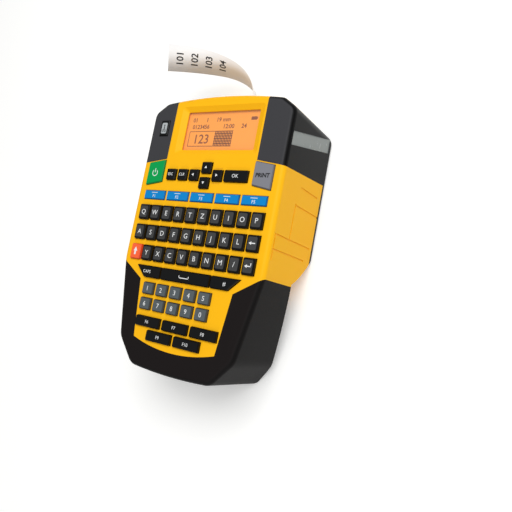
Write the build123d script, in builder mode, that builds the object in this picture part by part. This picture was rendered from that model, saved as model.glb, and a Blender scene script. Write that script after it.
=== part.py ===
"""Handheld label maker: moulded case, keypad, display, cassette bay, print mechanism and cutter.

The unit lies on its back. +X is its right side, +Y its label end and +Z the face with the keys.
The origin is on the back plane, midway between the two sides and the two ends. Sizes are in mm.
"""

import os
from math import acos, atan2, cos, degrees, hypot, pi, radians, sin, tan

from build123d import *

# Case
BODY_WIDTH = 112.0
BODY_LENGTH = 183.0
BODY_DEPTH = 58.0
END_SAG = 3.2
SHOULDER_RUN = 10.0
SHOULDER_DROP = 7.0
SHOULDER_RADIUS = 7.0
WAIST_Y = -22.0
WAIST_RADIUS = 28.0
HEEL_HALF = 46.0
HEEL_Y = -74.0
TOE_HALF = 32.0
HEEL_RADIUS = 12.0
TOE_RADIUS = 9.0
FRONT_EDGE = 3.2
BACK_EDGE = 2.4
FRONT_WALL = 2.7
LEDGE = 2.0
SIDE_WALL = 2.8
COVER = 2.7
BACK_PLATE = 4.0
GAP = 0.3

# Grip scoops on the lower back
SPINE_HALF = 24.0
SCOOP_HEIGHT = 30.0
SCOOP_TOP_Y = 0.0
SCOOP_RUN = 25.0

# Front panel between the bumper's cheeks
CHEEK_Y = -34.5
CHEEK_HALF = 37.0
CHEEK_SLOPE = 0.62
PANEL_FOOT_Y = -72.0
PANEL_FOOT_HALF = 32.5
PANEL_SAG = 5.0

# Shoulder caps
CAP_INNER = 36.0
CAP_INNER_Y = 47.8
CAP_OUTER_Y = 44.6
CAP_RAKE = 0.08

# Side relief blocks
RELIEF_DEPTH = 0.5
RELIEF_LINE = 0.9

# Display
DISPLAY_X = 2.0
DISPLAY_Y = 68.0
DISPLAY_WIDTH = 57.0
DISPLAY_HEIGHT = 26.5
BEZEL_MARGIN_X = 4.2
BEZEL_MARGIN_Y = 3.2
BEZEL_DEPTH = 2.0
LENS_THICK = 1.2
MODULE_THICK = 4.0
MODULE_MARGIN = 3.0

# Keys
KEY_GAP = 0.25
KEY_RISE = 2.0
KEY_EDGE = 0.55
FLANGE = 0.5
FLANGE_THICK = 0.8
KEY_TRAVEL = 1.0
LETTER_PITCH = 10.0
LETTER_WIDTH = 8.4
LETTER_HEIGHT = 10.1
LETTER_ROWS_Y = (10.25, -3.4, -17.1)
HOT_Y = 22.4
HOT_PITCH = 19.86
HOT_WIDTH = 18.2
HOT_HEIGHT = 6.2
HOT_RISE = 0.9
DIGIT_X = -27.6
DIGIT_PITCH = 11.4
DIGIT_WIDTH = 9.0
DIGIT_HEIGHT = 7.5
DIGIT_ROWS_Y = (-40.0, -50.0)
FUNCTION_PITCH = 22.4
FUNCTION_WIDTH = 20.2
FUNCTION_HEIGHT = 6.4
FUNCTION_ROWS_Y = (-61.2, -69.4)
CURSOR_Y = 36.9
CURSOR_WIDTH = 7.5
CURSOR_HEIGHT = 7.4
CURSOR_X = 9.3
CURSOR_LIFT = 5.0
ESCAPE_X = -28.3
CLEAR_X = -18.7
OK_X = 23.6
OK_WIDTH = 17.4
CAPS_Y = -29.3
CAPS_HEIGHT = 7.4
CAPS_INNER = 20.4
CAPS_TOP = 41.0
CAPS_FOOT = 33.5
CAPS_SPACE_GAP = 1.2
BUTTON_RISE = 1.4
BUTTON_INNER = 36.0
BUTTON_OUTER = 49.6
BUTTON_GAP = 0.9
BUTTON_LENGTH = 15.6
BUTTON_SKEW = 2.6
CUT_X = -43.6
CUT_Y = 69.5
CUT_WIDTH = 7.2
CUT_HEIGHT = 10.8
CUT_RISE = 0.8
STEM_RADIUS = 1.8
STEM_NOSE = 1.2

# Keypad and electronics
MAT_THICK = 1.0
PAD_SIDE = 3.6
PAD_RISE = 1.0
PEG_RADIUS = 1.2
BOARD_THICK = 1.6
BOARD_HALF = 43.0
BOARD_TOP_Y = 49.0
BOARD_WAIST_Y = -20.0
BOARD_FOOT_HALF = 28.0
BOARD_FOOT_Y = -71.0

# Cassette bay and mechanism
DECK_TOP = 40.0
DECK_THICK = 2.0
DECK_HALF = 44.0
DECK_Y0 = 5.0
DECK_Y1 = 83.4
DECK_NECK_Y = 74.0
DECK_NECK_HALF = 34.0
POST_RADIUS = 2.6
POST_TOP = 50.0
BAY_HALF = 33.0
BAY_Y0 = 8.0
BAY_Y1 = 83.0
DOOR_THICK = 2.4
HINGE_RADIUS = 1.9
PIN_RADIUS = 1.0
PIN_GAP = 0.06
TAPE_X = 1.0
TAPE_WIDTH = 19.0
TAPE_THICK = 0.3
TAPE_MID_Z = 18.5
PLATEN_RADIUS = 5.0
PLATEN_Y = 70.0
SHAFT_RADIUS = 1.5
RUN_GAP = 0.06
HEAD_THICK = 4.0
HEAD_WIDTH = 16.0
CASSETTE_X0 = -30.0
CASSETTE_X1 = 31.0
CASSETTE_Y0 = 11.0
CASSETTE_Y1 = 60.0
CASSETTE_WALL = 1.2
CASSETTE_Z0 = 5.2
CASSETTE_DEPTH = 26.0
SPOOL_X = -11.0
SPOOL_Y = 34.0
SPOOL_RADIUS = 17.0
SUPPLY_X = 19.0
SUPPLY_Y = 47.0
SUPPLY_RADIUS = 8.0
TAKEUP_X = 18.0
TAKEUP_Y = 24.0
TAKEUP_RADIUS = 7.0
CORE_RADIUS = 4.0
SPINDLE_RADIUS = 2.0

# Gear train
GEAR_MODULE = 1.0
GEAR_WIDTH = 3.4
GEAR_BACKLASH = 0.3
PLATEN_TEETH = 20
MOTOR_TEETH = 14
IDLER_TEETH = 18
TRANSFER_TEETH = 26
TAKEUP_TEETH = 24
MOTOR_X = 40.0
MOTOR_Y = 70.0
MOTOR_RADIUS = 9.0
MOTOR_LENGTH = 24.0

# Cutter
BLADE_Y = 80.0
BLADE_THICK = 1.0
BLADE_TIP = -0.5
PIVOT_X = -24.0
PIVOT_Z = 45.0
LEVER_Y = 69.5
LEVER_THICK = 3.0
LEVER_ARM = 19.6
LEVER_DROP = 18.0

# Battery
CELL_RADIUS = 7.15
CELL_LENGTH = 49.5
CELL_PITCH = 14.7
CELL_Y = -46.5
CELL_Z = 11.6
NUB_RADIUS = 2.6
NUB_LENGTH = 1.0
TUB_WALL = 1.5
BATTERY_DOOR_HALF = 22.6
BATTERY_DOOR_Y0 = -73.5
BATTERY_DOOR_Y1 = -19.0

# Screws
SCREW_RADIUS = 1.5
SCREW_HEAD = 2.8
SCREW_HEAD_THICK = 1.8
SCREW_LENGTH = 12.0
BOSS_RADIUS = 3.6
BOSS_TOP = 36.0

# Printed label
LABEL_START_Y = 82.0
LABEL_FREE = 95.2
LABEL_CURL = (0.16, 2.27, 1.69, 0.77, 0.77, 0.76)
LABEL_TWIST = (1.19, 0.60, 0.75, 1.02, 0.76, 0.49)
LABEL_SECTIONS = 25
SLOT_HALF = 1.3

HALF_WIDTH = BODY_WIDTH / 2
HALF_LENGTH = BODY_LENGTH / 2
UNDERSIDE = BODY_DEPTH - FRONT_WALL
FLANGE_FOOT = UNDERSIDE - FLANGE_THICK
MAT_TOP = FLANGE_FOOT - KEY_TRAVEL - 2 * GAP
PLATEN_X = TAPE_X + TAPE_THICK / 2 + 0.15 + PLATEN_RADIUS
GEAR_FOOT = DECK_TOP + 0.8
GEAR_TOP = GEAR_FOOT + GEAR_WIDTH
DECK_UNDER = DECK_TOP - DECK_THICK
DOOR_HINGE_Z = HINGE_RADIUS

os.makedirs("parts", exist_ok=True)


def save(piece, name):
    """Label a finished piece and write it as its own file."""
    piece.label = name
    export_step(piece, f"parts/{name}.step")


def case_outline(inset):
    """Plan of the case seen from the front, drawn in by inset on every side."""
    shoulder_x = HALF_WIDTH - SHOULDER_RUN
    shoulder_y = HALF_LENGTH - END_SAG
    toe_y = -HALF_LENGTH + END_SAG / 2
    with BuildSketch() as plan:
        with BuildLine():
            ThreePointArc((-shoulder_x, shoulder_y), (0, HALF_LENGTH), (shoulder_x, shoulder_y))
            Polyline(
                (shoulder_x, shoulder_y),
                (HALF_WIDTH, shoulder_y - SHOULDER_DROP),
                (HALF_WIDTH, WAIST_Y),
                (HEEL_HALF, HEEL_Y),
                (TOE_HALF, toe_y),
            )
            ThreePointArc((TOE_HALF, toe_y), (0, -HALF_LENGTH), (-TOE_HALF, toe_y))
            Polyline(
                (-TOE_HALF, toe_y),
                (-HEEL_HALF, HEEL_Y),
                (-HALF_WIDTH, WAIST_Y),
                (-HALF_WIDTH, shoulder_y - SHOULDER_DROP),
                (-shoulder_x, shoulder_y),
            )
        make_face()
        levels = plan.vertices().group_by(Axis.Y)
        fillet(levels[4] + levels[3], SHOULDER_RADIUS)
        fillet(plan.vertices().filter_by(lambda v: abs(v.Y - WAIST_Y) < 0.01), WAIST_RADIUS)
        fillet(plan.vertices().filter_by(lambda v: abs(v.Y - HEEL_Y) < 0.01), HEEL_RADIUS)
        fillet(plan.vertices().filter_by(lambda v: abs(v.Y - toe_y) < 0.01), TOE_RADIUS)
        if inset:
            offset(amount=-inset, mode=Mode.REPLACE)
    return plan.sketch


def grip_scoops():
    """Material taken off both lower back edges so that the hands close round the case."""
    reach = HALF_WIDTH + 4
    with BuildPart() as scoops:
        with BuildSketch(Plane.XZ.offset(-SCOOP_TOP_Y - 1)) as section:
            with BuildLine():
                ThreePointArc((SPINE_HALF, 0), (HALF_WIDTH - 11, 9.5), (reach, SCOOP_HEIGHT + 4))
                Polyline((reach, SCOOP_HEIGHT + 4), (reach, -1), (SPINE_HALF, -1), (SPINE_HALF, 0))
            make_face()
            mirror(about=Plane.YZ)
        extrude(amount=BODY_LENGTH)
        with BuildSketch(Plane.YZ.offset(-reach)) as side:
            with BuildLine():
                ThreePointArc(
                    (SCOOP_TOP_Y, 0),
                    (SCOOP_TOP_Y - 0.6 * SCOOP_RUN, 0.45 * SCOOP_HEIGHT),
                    (SCOOP_TOP_Y - SCOOP_RUN, SCOOP_HEIGHT),
                )
                Polyline(
                    (SCOOP_TOP_Y - SCOOP_RUN, SCOOP_HEIGHT),
                    (SCOOP_TOP_Y - SCOOP_RUN - 6, SCOOP_HEIGHT + 8),
                    (-BODY_LENGTH, SCOOP_HEIGHT + 8),
                    (-BODY_LENGTH, -2),
                    (SCOOP_TOP_Y, -2),
                    (SCOOP_TOP_Y, 0),
                )
            make_face()
        extrude(amount=2 * reach, mode=Mode.INTERSECT)
    return scoops.part


def case_block(inset, rounded):
    """The case as one solid, drawn in by inset, with its outer edges rounded on request."""
    with BuildPart() as block:
        with BuildSketch(Plane.XY.offset(inset)):
            add(case_outline(inset))
        extrude(amount=BODY_DEPTH - 2 * inset)
        if rounded:
            fillet(block.faces().sort_by(Axis.Z)[-1].edges(), FRONT_EDGE)
            fillet(block.faces().sort_by(Axis.Z)[0].edges(), BACK_EDGE)
        add(grip_scoops().moved(Location((0, 0, inset))), mode=Mode.SUBTRACT)
    return block.part


def panel_plan():
    """Plan of everything on the face that isn't the lower bumper."""
    rise = (HALF_WIDTH + 10 - CHEEK_HALF) * CHEEK_SLOPE
    reach = HALF_WIDTH + 10
    with BuildSketch() as plan:
        with BuildLine():
            ThreePointArc(
                (-PANEL_FOOT_HALF, PANEL_FOOT_Y),
                (0, PANEL_FOOT_Y - PANEL_SAG),
                (PANEL_FOOT_HALF, PANEL_FOOT_Y),
            )
            Polyline(
                (PANEL_FOOT_HALF, PANEL_FOOT_Y),
                (CHEEK_HALF, CHEEK_Y),
                (reach, CHEEK_Y + rise),
                (reach, BODY_LENGTH),
                (-reach, BODY_LENGTH),
                (-reach, CHEEK_Y + rise),
                (-CHEEK_HALF, CHEEK_Y),
                (-PANEL_FOOT_HALF, PANEL_FOOT_Y),
            )
        make_face()
    return plan.sketch


def cap_zone(side):
    """Raked block that covers one shoulder: side is -1 on the left and 1 on the right."""
    reach = HALF_WIDTH + 10
    outer_y = CAP_INNER_Y + (CAP_OUTER_Y - CAP_INNER_Y) * (reach - CAP_INNER) / (HALF_WIDTH - CAP_INNER)
    with BuildPart() as zone:
        with BuildSketch(Plane.XY.offset(BODY_DEPTH)) as plan:
            with BuildLine():
                Polyline(
                    (side * CAP_INNER, CAP_INNER_Y),
                    (side * reach, outer_y),
                    (side * reach, BODY_LENGTH),
                    (side * CAP_INNER, BODY_LENGTH),
                    close=True,
                )
            make_face()
        extrude(amount=BODY_DEPTH + 4, dir=(0, CAP_RAKE, -1))
        extrude(plan.sketch, amount=4)
    return zone.part


def box_at(x0, x1, y0, y1, z0, z1):
    """Rectangular solid between two corners."""
    with BuildPart() as block:
        with BuildSketch(Plane.XY.offset(z0)):
            with Locations(((x0 + x1) / 2, (y0 + y1) / 2)):
                Rectangle(x1 - x0, y1 - y0)
        extrude(amount=z1 - z0)
    return block.part


def rod(x, y, z0, z1, radius):
    """Round bar along Z."""
    with BuildPart() as bar:
        with BuildSketch(Plane.XY.offset(z0)):
            with Locations((x, y)):
                Circle(radius)
        extrude(amount=z1 - z0)
    return bar.part


def rectangle_points(x, y, width, height):
    """Corners of an upright rectangle about its centre."""
    return [
        (x - width / 2, y - height / 2),
        (x + width / 2, y - height / 2),
        (x + width / 2, y + height / 2),
        (x - width / 2, y + height / 2),
    ]


def button_points(side):
    """Slanted button below a shoulder cap: side is -1 on the left and 1 on the right."""
    slope = (CAP_OUTER_Y - CAP_INNER_Y) / (HALF_WIDTH - CAP_INNER)
    inner_top = CAP_INNER_Y - BUTTON_GAP
    outer_top = inner_top + slope * (BUTTON_OUTER - BUTTON_INNER)
    return [
        (side * BUTTON_INNER, inner_top),
        (side * BUTTON_OUTER, outer_top),
        (side * BUTTON_OUTER, outer_top - BUTTON_LENGTH),
        (side * BUTTON_INNER, outer_top - BUTTON_LENGTH + BUTTON_SKEW),
    ]


def caps_points(side):
    """Key at one end of the space bar, cut on a slant on its outer side."""
    top = CAPS_Y + CAPS_HEIGHT / 2
    foot = CAPS_Y - CAPS_HEIGHT / 2
    return [
        (side * CAPS_INNER, foot),
        (side * CAPS_INNER, top),
        (side * CAPS_TOP, top),
        (side * CAPS_FOOT, foot),
    ]


def row_points(count, x0, pitch, y, width, height):
    """Outlines of a row of equal keys."""
    return [rectangle_points(x0 + i * pitch, y, width, height) for i in range(count)]


def letter_row(first, count, row):
    """Outlines of part of a letter row, counted from its left end."""
    x0 = -4.5 * LETTER_PITCH + first * LETTER_PITCH
    return row_points(count, x0, LETTER_PITCH, LETTER_ROWS_Y[row], LETTER_WIDTH, LETTER_HEIGHT)


def grown(points, amount):
    """Outline with straight sides moved outwards by amount."""
    twist = sum(a[0] * b[1] - b[0] * a[1] for a, b in zip(points, points[1:] + points[:1]))
    out = amount if twist > 0 else -amount
    lines = []
    for a, b in zip(points, points[1:] + points[:1]):
        span = hypot(b[0] - a[0], b[1] - a[1])
        normal = ((b[1] - a[1]) / span, (a[0] - b[0]) / span)
        lines.append((normal, normal[0] * a[0] + normal[1] * a[1] + out))
    corners = []
    for (m, c), (n, d) in zip(lines[-1:] + lines[:-1], lines):
        det = m[0] * n[1] - m[1] * n[0]
        corners.append(((c * n[1] - d * m[1]) / det, (m[0] * d - n[0] * c) / det))
    return corners


def key_table():
    """Every key piece by name, with the outlines it holds and its rise above the face."""
    table = {
        "power_button": ([button_points(-1)], BUTTON_RISE),
        "print_button": ([button_points(1)], BUTTON_RISE),
        "escape_key": ([rectangle_points(ESCAPE_X, CURSOR_Y, CURSOR_WIDTH, CURSOR_HEIGHT)], KEY_RISE),
        "clear_key": ([rectangle_points(CLEAR_X, CURSOR_Y, CURSOR_WIDTH, CURSOR_HEIGHT)], KEY_RISE),
        "ok_key": ([rectangle_points(OK_X, CURSOR_Y, OK_WIDTH, CURSOR_HEIGHT)], KEY_RISE),
        "caps_key": ([caps_points(-1)], KEY_RISE),
        "symbol_key": ([caps_points(1)], KEY_RISE),
        "shift_key": (letter_row(0, 1, 2), KEY_RISE),
        "letter_keys_top_row": (letter_row(0, 10, 0), KEY_RISE),
        "letter_keys_middle_row": (letter_row(0, 10, 1), KEY_RISE),
        "letter_keys_bottom_row": (letter_row(1, 9, 2), KEY_RISE),
    }
    arrows = {"left": (-1, 0), "right": (1, 0), "up": (0, 1), "down": (0, -1)}
    for name, (along, up) in arrows.items():
        at = (along * CURSOR_X, CURSOR_Y + up * CURSOR_LIFT)
        table[f"arrow_{name}_key"] = ([rectangle_points(*at, CURSOR_WIDTH, CURSOR_HEIGHT)], KEY_RISE)
    space = 2 * (CAPS_INNER - CAPS_SPACE_GAP)
    table["space_bar"] = ([rectangle_points(0, CAPS_Y, space, CAPS_HEIGHT)], KEY_RISE)
    for i in range(5):
        spot = rectangle_points((i - 2) * HOT_PITCH, HOT_Y, HOT_WIDTH, HOT_HEIGHT)
        table[f"hot_key_{i + 1}"] = ([spot], HOT_RISE)
    for name, y in zip(("upper", "lower"), DIGIT_ROWS_Y):
        row = row_points(5, DIGIT_X, DIGIT_PITCH, y, DIGIT_WIDTH, DIGIT_HEIGHT)
        table[f"digit_keys_{name}_row"] = (row, KEY_RISE)
    for name, y, count in (("upper", FUNCTION_ROWS_Y[0], 3), ("lower", FUNCTION_ROWS_Y[1], 2)):
        x0 = -(count - 1) / 2 * FUNCTION_PITCH
        row = row_points(count, x0, FUNCTION_PITCH, y, FUNCTION_WIDTH, FUNCTION_HEIGHT)
        table[f"function_keys_{name}_row"] = (row, KEY_RISE)
    return table


CUT_POINTS = rectangle_points(CUT_X, CUT_Y, CUT_WIDTH, CUT_HEIGHT)


def key_cap(points, rise):
    """One key: a cap with eased edges that passes through the face, and a flange that keeps it in."""
    with BuildPart() as key:
        with BuildSketch(Plane.XY.offset(UNDERSIDE)):
            with BuildLine():
                Polyline(*points, close=True)
            make_face()
        extrude(amount=FRONT_WALL + rise)
        chamfer(key.edges().filter_by(Axis.Z) + key.faces().sort_by(Axis.Z)[-1].edges(), KEY_EDGE)
        with BuildSketch(Plane.XY.offset(FLANGE_FOOT)):
            with BuildLine():
                Polyline(*grown(points, FLANGE), close=True)
            make_face()
        extrude(amount=FLANGE_THICK)
    return key.part


def key_holes(outlines):
    """Openings in the face round a set of keys."""
    with BuildPart() as holes:
        with BuildSketch(Plane.XY.offset(UNDERSIDE - 1)):
            for points in outlines:
                with BuildLine():
                    Polyline(*grown(points, KEY_GAP), close=True)
                make_face()
        extrude(amount=FRONT_WALL + 4)
    return holes.part


def keys():
    """All the keys and buttons except the cutter's."""
    for name, (outlines, rise) in key_table().items():
        with BuildPart() as piece:
            for points in outlines:
                add(key_cap(points, rise))
        save(piece.part, name)


def cut_button():
    """Cutter button in the left shoulder with the stem that works the cutter lever."""
    stem_foot = PIVOT_Z + 2.0 + GAP
    with BuildPart() as button:
        add(key_cap(CUT_POINTS, CUT_RISE))
        add(rod(CUT_X, CUT_Y, stem_foot, UNDERSIDE, STEM_RADIUS))
        chamfer(button.edges().group_by(Axis.Z)[0], length=STEM_NOSE)
    save(button.part, "cut_button")


def gear_points(teeth, phase):
    """Outline of a spur gear whose first tooth points at phase degrees."""
    pitch = GEAR_MODULE * teeth / 2
    tip = pitch + 0.8 * GEAR_MODULE
    root = pitch - 1.1 * GEAR_MODULE
    base = pitch * cos(radians(20))
    start = (pi * GEAR_MODULE / 2 - GEAR_BACKLASH) / (2 * pitch) + tan(radians(20)) - radians(20)

    def half_angle(radius):
        lean = acos(min(1.0, base / radius))
        return start - (tan(lean) - lean)

    flank = [(root, half_angle(max(root, base))), (pitch, half_angle(pitch)), (tip, half_angle(tip))]
    points = []
    for i in range(teeth):
        middle = radians(phase) + 2 * pi * i / teeth
        for radius, half in flank:
            points.append((radius * cos(middle - half), radius * sin(middle - half)))
        for radius, half in reversed(flank):
            points.append((radius * cos(middle + half), radius * sin(middle + half)))
    return points


def mesh_phase(at, phase, teeth, other_at, other_teeth):
    """Phase that puts another gear in mesh with one that stands at phase degrees."""
    line = degrees(atan2(other_at[1] - at[1], other_at[0] - at[0]))
    step = 360 / teeth
    shift = (phase - line + step / 2) % step - step / 2
    return line + 180 - shift * teeth / other_teeth + 180 / other_teeth


def third_centre(a, b, from_a, from_b, side):
    """Point at two given distances from two others, on the chosen side of the line between them."""
    span = hypot(b[0] - a[0], b[1] - a[1])
    along = (from_a**2 - from_b**2 + span**2) / (2 * span)
    off = (from_a**2 - along**2) ** 0.5 * side
    ux, uy = (b[0] - a[0]) / span, (b[1] - a[1]) / span
    return (a[0] + ux * along - uy * off, a[1] + uy * along + ux * off)


def mesh_distance(one, two):
    """Centre distance of two gears, with a little working room."""
    return GEAR_MODULE * (one + two) / 2


PLATEN_AT = (PLATEN_X, PLATEN_Y)
MOTOR_AT = (MOTOR_X, MOTOR_Y)
TAKEUP_AT = (TAKEUP_X, TAKEUP_Y)
IDLER_AT = third_centre(
    PLATEN_AT,
    MOTOR_AT,
    mesh_distance(PLATEN_TEETH, IDLER_TEETH),
    mesh_distance(IDLER_TEETH, MOTOR_TEETH),
    -1,
)
TRANSFER_AT = third_centre(
    PLATEN_AT,
    TAKEUP_AT,
    mesh_distance(PLATEN_TEETH, TRANSFER_TEETH),
    mesh_distance(TRANSFER_TEETH, TAKEUP_TEETH),
    -1,
)
IDLER_PHASE = mesh_phase(PLATEN_AT, 0, PLATEN_TEETH, IDLER_AT, IDLER_TEETH)
MOTOR_PHASE = mesh_phase(IDLER_AT, IDLER_PHASE, IDLER_TEETH, MOTOR_AT, MOTOR_TEETH)
TRANSFER_PHASE = mesh_phase(PLATEN_AT, 0, PLATEN_TEETH, TRANSFER_AT, TRANSFER_TEETH)
TAKEUP_PHASE = mesh_phase(TRANSFER_AT, TRANSFER_PHASE, TRANSFER_TEETH, TAKEUP_AT, TAKEUP_TEETH)


def gear(at, teeth, phase, bore):
    """Spur gear in the space above the deck, with a bore if it turns on a stud."""
    with BuildPart() as wheel:
        with BuildSketch(Plane.XY.offset(GEAR_FOOT)):
            with BuildLine():
                Polyline(*[(at[0] + x, at[1] + y) for x, y in gear_points(teeth, phase)], close=True)
            make_face()
            if bore:
                with Locations(at):
                    Circle(bore, mode=Mode.SUBTRACT)
        extrude(amount=GEAR_WIDTH)
    return wheel.part


SCREWS = ((-50.0, 14.0), (50.0, 14.0), (-50.0, 38.0), (50.0, 38.0), (-29.0, -4.0), (29.0, -4.0))
PEGS = ((-38.0, 17.3), (38.0, 17.3), (-20.0, -56.05), (20.0, -56.05))
POSTS = ((-51.4, 12.0), (51.4, 12.0), (-48.8, 56.0), (48.8, 56.0))
WINDOW_SIDE = ((58.6, 55.0), (67.4, 55.0), (81.0, 4.0), (71.4, 4.0))
RELIEF_LINES = ((28.0, 33.0, 9.0), (16.0, 37.0, 1.0), (-6.0, 53.0, 7.0), (-15.0, 55.0, 13.0))


def side_relief(side):
    """Shallow grooves that break up the flank into blocks."""
    depth = RELIEF_DEPTH + 1
    x = side * (HALF_WIDTH + 1 - depth / 2)
    with BuildPart() as grooves:
        for y, z_front, z_back in RELIEF_LINES:
            with Locations((x, y + 10.5, (z_front + z_back) / 2)):
                Box(depth, RELIEF_LINE, z_front - z_back)
        with Locations((x, 15.5, 36.5)):
            Box(depth, 24.0, RELIEF_LINE)
        with Locations((x, -3.0, 54.0)):
            Box(depth, 16.0, RELIEF_LINE)
    return grooves.part


def bezel():
    """Opening over the display with sides that slope in towards the lens."""
    wide = DISPLAY_WIDTH + 2 * BEZEL_MARGIN_X
    high = DISPLAY_HEIGHT + 2 * BEZEL_MARGIN_Y
    with BuildPart() as hole:
        with BuildSketch(Plane.XY.offset(BODY_DEPTH)):
            with Locations((DISPLAY_X, DISPLAY_Y)):
                RectangleRounded(wide, high, 2.0)
        with BuildSketch(Plane.XY.offset(BODY_DEPTH - BEZEL_DEPTH)):
            with Locations((DISPLAY_X, DISPLAY_Y)):
                RectangleRounded(DISPLAY_WIDTH, DISPLAY_HEIGHT, 1.0)
        loft()
        with BuildSketch(Plane.XY.offset(UNDERSIDE - 1)):
            with Locations((DISPLAY_X, DISPLAY_Y)):
                RectangleRounded(DISPLAY_WIDTH, DISPLAY_HEIGHT, 1.0)
        extrude(amount=BODY_DEPTH - BEZEL_DEPTH - UNDERSIDE + 1)
        with BuildSketch(Plane.XY.offset(BODY_DEPTH)):
            with Locations((DISPLAY_X, DISPLAY_Y)):
                RectangleRounded(wide, high, 2.0)
        extrude(amount=2)
    return hole.part


def hollow():
    """Space inside the case, stepped in where a cover or a scoop needs the room."""
    scoop_top = SCOOP_HEIGHT + 8
    with BuildPart() as space:
        with BuildSketch(Plane.XY.offset(scoop_top)):
            add(case_outline(COVER + SIDE_WALL))
        extrude(amount=UNDERSIDE - scoop_top)
        with BuildSketch(Plane.XY.offset(BACK_PLATE)):
            add(case_outline(COVER + SIDE_WALL))
            with Locations((0, SCOOP_TOP_Y + 2 - BODY_LENGTH / 2)):
                Rectangle(BODY_WIDTH, BODY_LENGTH, mode=Mode.SUBTRACT)
        extrude(amount=UNDERSIDE - BACK_PLATE)
        with BuildSketch(Plane.XY.offset(BACK_PLATE)):
            add(case_outline(SIDE_WALL))
            with Locations((0, SCOOP_TOP_Y + 22)):
                Rectangle(BODY_WIDTH, 40, mode=Mode.INTERSECT)
        extrude(amount=UNDERSIDE - BACK_PLATE)
        add(box_at(-29.5, 29.5, -76.0, SCOOP_TOP_Y + 3, BACK_PLATE, UNDERSIDE))
        add(case_block(COVER + SIDE_WALL, False))
    return space.part


def cap_floor():
    """Ledge of the front case that carries the two shoulder caps and the bumper's lip."""
    with BuildPart() as ledge:
        add(CORE)
        add(
            box_at(-BODY_WIDTH, BODY_WIDTH, -BODY_LENGTH, BODY_LENGTH, UNDERSIDE - LEDGE, BODY_DEPTH),
            mode=Mode.INTERSECT,
        )
        with BuildPart(mode=Mode.INTERSECT):
            add(cap_zone(-1).moved(Location((LEDGE, LEDGE / 2, 0))))
            add(cap_zone(1).moved(Location((-LEDGE, LEDGE / 2, 0))))
        with Locations((CUT_X, CUT_Y, UNDERSIDE)):
            Box(CUT_WIDTH + 2 * FLANGE + 1, CUT_HEIGHT + 2 * FLANGE + 1, 4 * LEDGE, mode=Mode.SUBTRACT)
    return ledge.part


BODY = case_block(0, True)
CORE = case_block(COVER, False)
with BuildPart() as bumper_zone:
    with BuildSketch():
        Rectangle(2 * BODY_WIDTH, 2 * BODY_LENGTH)
        add(panel_plan(), mode=Mode.SUBTRACT)
    extrude(amount=BODY_DEPTH)
with BuildPart() as cover_shell:
    add(BODY)
    add(CORE, mode=Mode.SUBTRACT)


def window_prism(depth):
    """Raked window opening in the right flank, outwards from the core."""
    with BuildPart() as prism:
        with BuildSketch(Plane.YZ.offset(HALF_WIDTH - COVER)):
            with BuildLine():
                Polyline(*WINDOW_SIDE, close=True)
            make_face()
        extrude(amount=depth)
    return prism.part


def covers():
    """Soft covers over the lower end and the two shoulders, and the pane in the right one."""
    with BuildPart() as bumper:
        add(cover_shell.part)
        add(bumper_zone.part, mode=Mode.INTERSECT)
    save(bumper.part, "lower_bumper")
    with BuildPart() as left:
        add(cover_shell.part)
        add(cap_zone(-1), mode=Mode.INTERSECT)
        add(key_holes([CUT_POINTS]), mode=Mode.SUBTRACT)
    with BuildPart() as right:
        add(cover_shell.part)
        add(cap_zone(1), mode=Mode.INTERSECT)
        add(window_prism(COVER + 4), mode=Mode.SUBTRACT)
    pane = window_prism(COVER - 0.5)
    save(left.part, "left_shoulder_cap")
    save(right.part, "right_shoulder_cap")
    save(pane, "cassette_window")
    return left.part, right.part, bumper.part, window_prism(COVER + 4)


COVERS = covers()


def label_slot():
    """Mouth in the top end that the label comes out of."""
    return box_at(
        TAPE_X - SLOT_HALF,
        TAPE_X + SLOT_HALF,
        HALF_LENGTH - 12,
        HALF_LENGTH + 2,
        TAPE_MID_Z - TAPE_WIDTH / 2 - 1,
        TAPE_MID_Z + TAPE_WIDTH / 2 + 1,
    )


def shell_half(z0, z1):
    """Case wall between two heights, less the covers' own material."""
    with BuildPart() as shell:
        add(BODY)
        add(box_at(-BODY_WIDTH, BODY_WIDTH, -BODY_LENGTH, BODY_LENGTH, z0, z1), mode=Mode.INTERSECT)
        add(hollow(), mode=Mode.SUBTRACT)
        for cover in COVERS:
            add(cover, mode=Mode.SUBTRACT)
    return shell.part


def front_case():
    """Moulded front of the case with its key holes, bezel, posts and screw bosses."""
    with BuildPart() as case:
        add(shell_half(BACK_PLATE, BODY_DEPTH))
        for x, y in POSTS:
            add(rod(x, y, DECK_TOP, POST_TOP, POST_RADIUS))
        for x, y in PEGS:
            add(rod(x, y, MAT_TOP - PAD_RISE, UNDERSIDE, PEG_RADIUS))
        add(cap_floor())
        for x, y in SCREWS:
            add(rod(x, y, BACK_PLATE, BOSS_TOP, BOSS_RADIUS))
        for x, y in SCREWS:
            add(rod(x, y, 0, SCREW_LENGTH + 2, SCREW_RADIUS), mode=Mode.SUBTRACT)
        openings = [points for outlines, rise in key_table().values() for points in outlines]
        add(key_holes(openings + [CUT_POINTS]), mode=Mode.SUBTRACT)
        add(bezel(), mode=Mode.SUBTRACT)
        add(side_relief(-1), mode=Mode.SUBTRACT)
        add(side_relief(1), mode=Mode.SUBTRACT)
        add(label_slot(), mode=Mode.SUBTRACT)
    save(case.part, "front_case")


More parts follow.
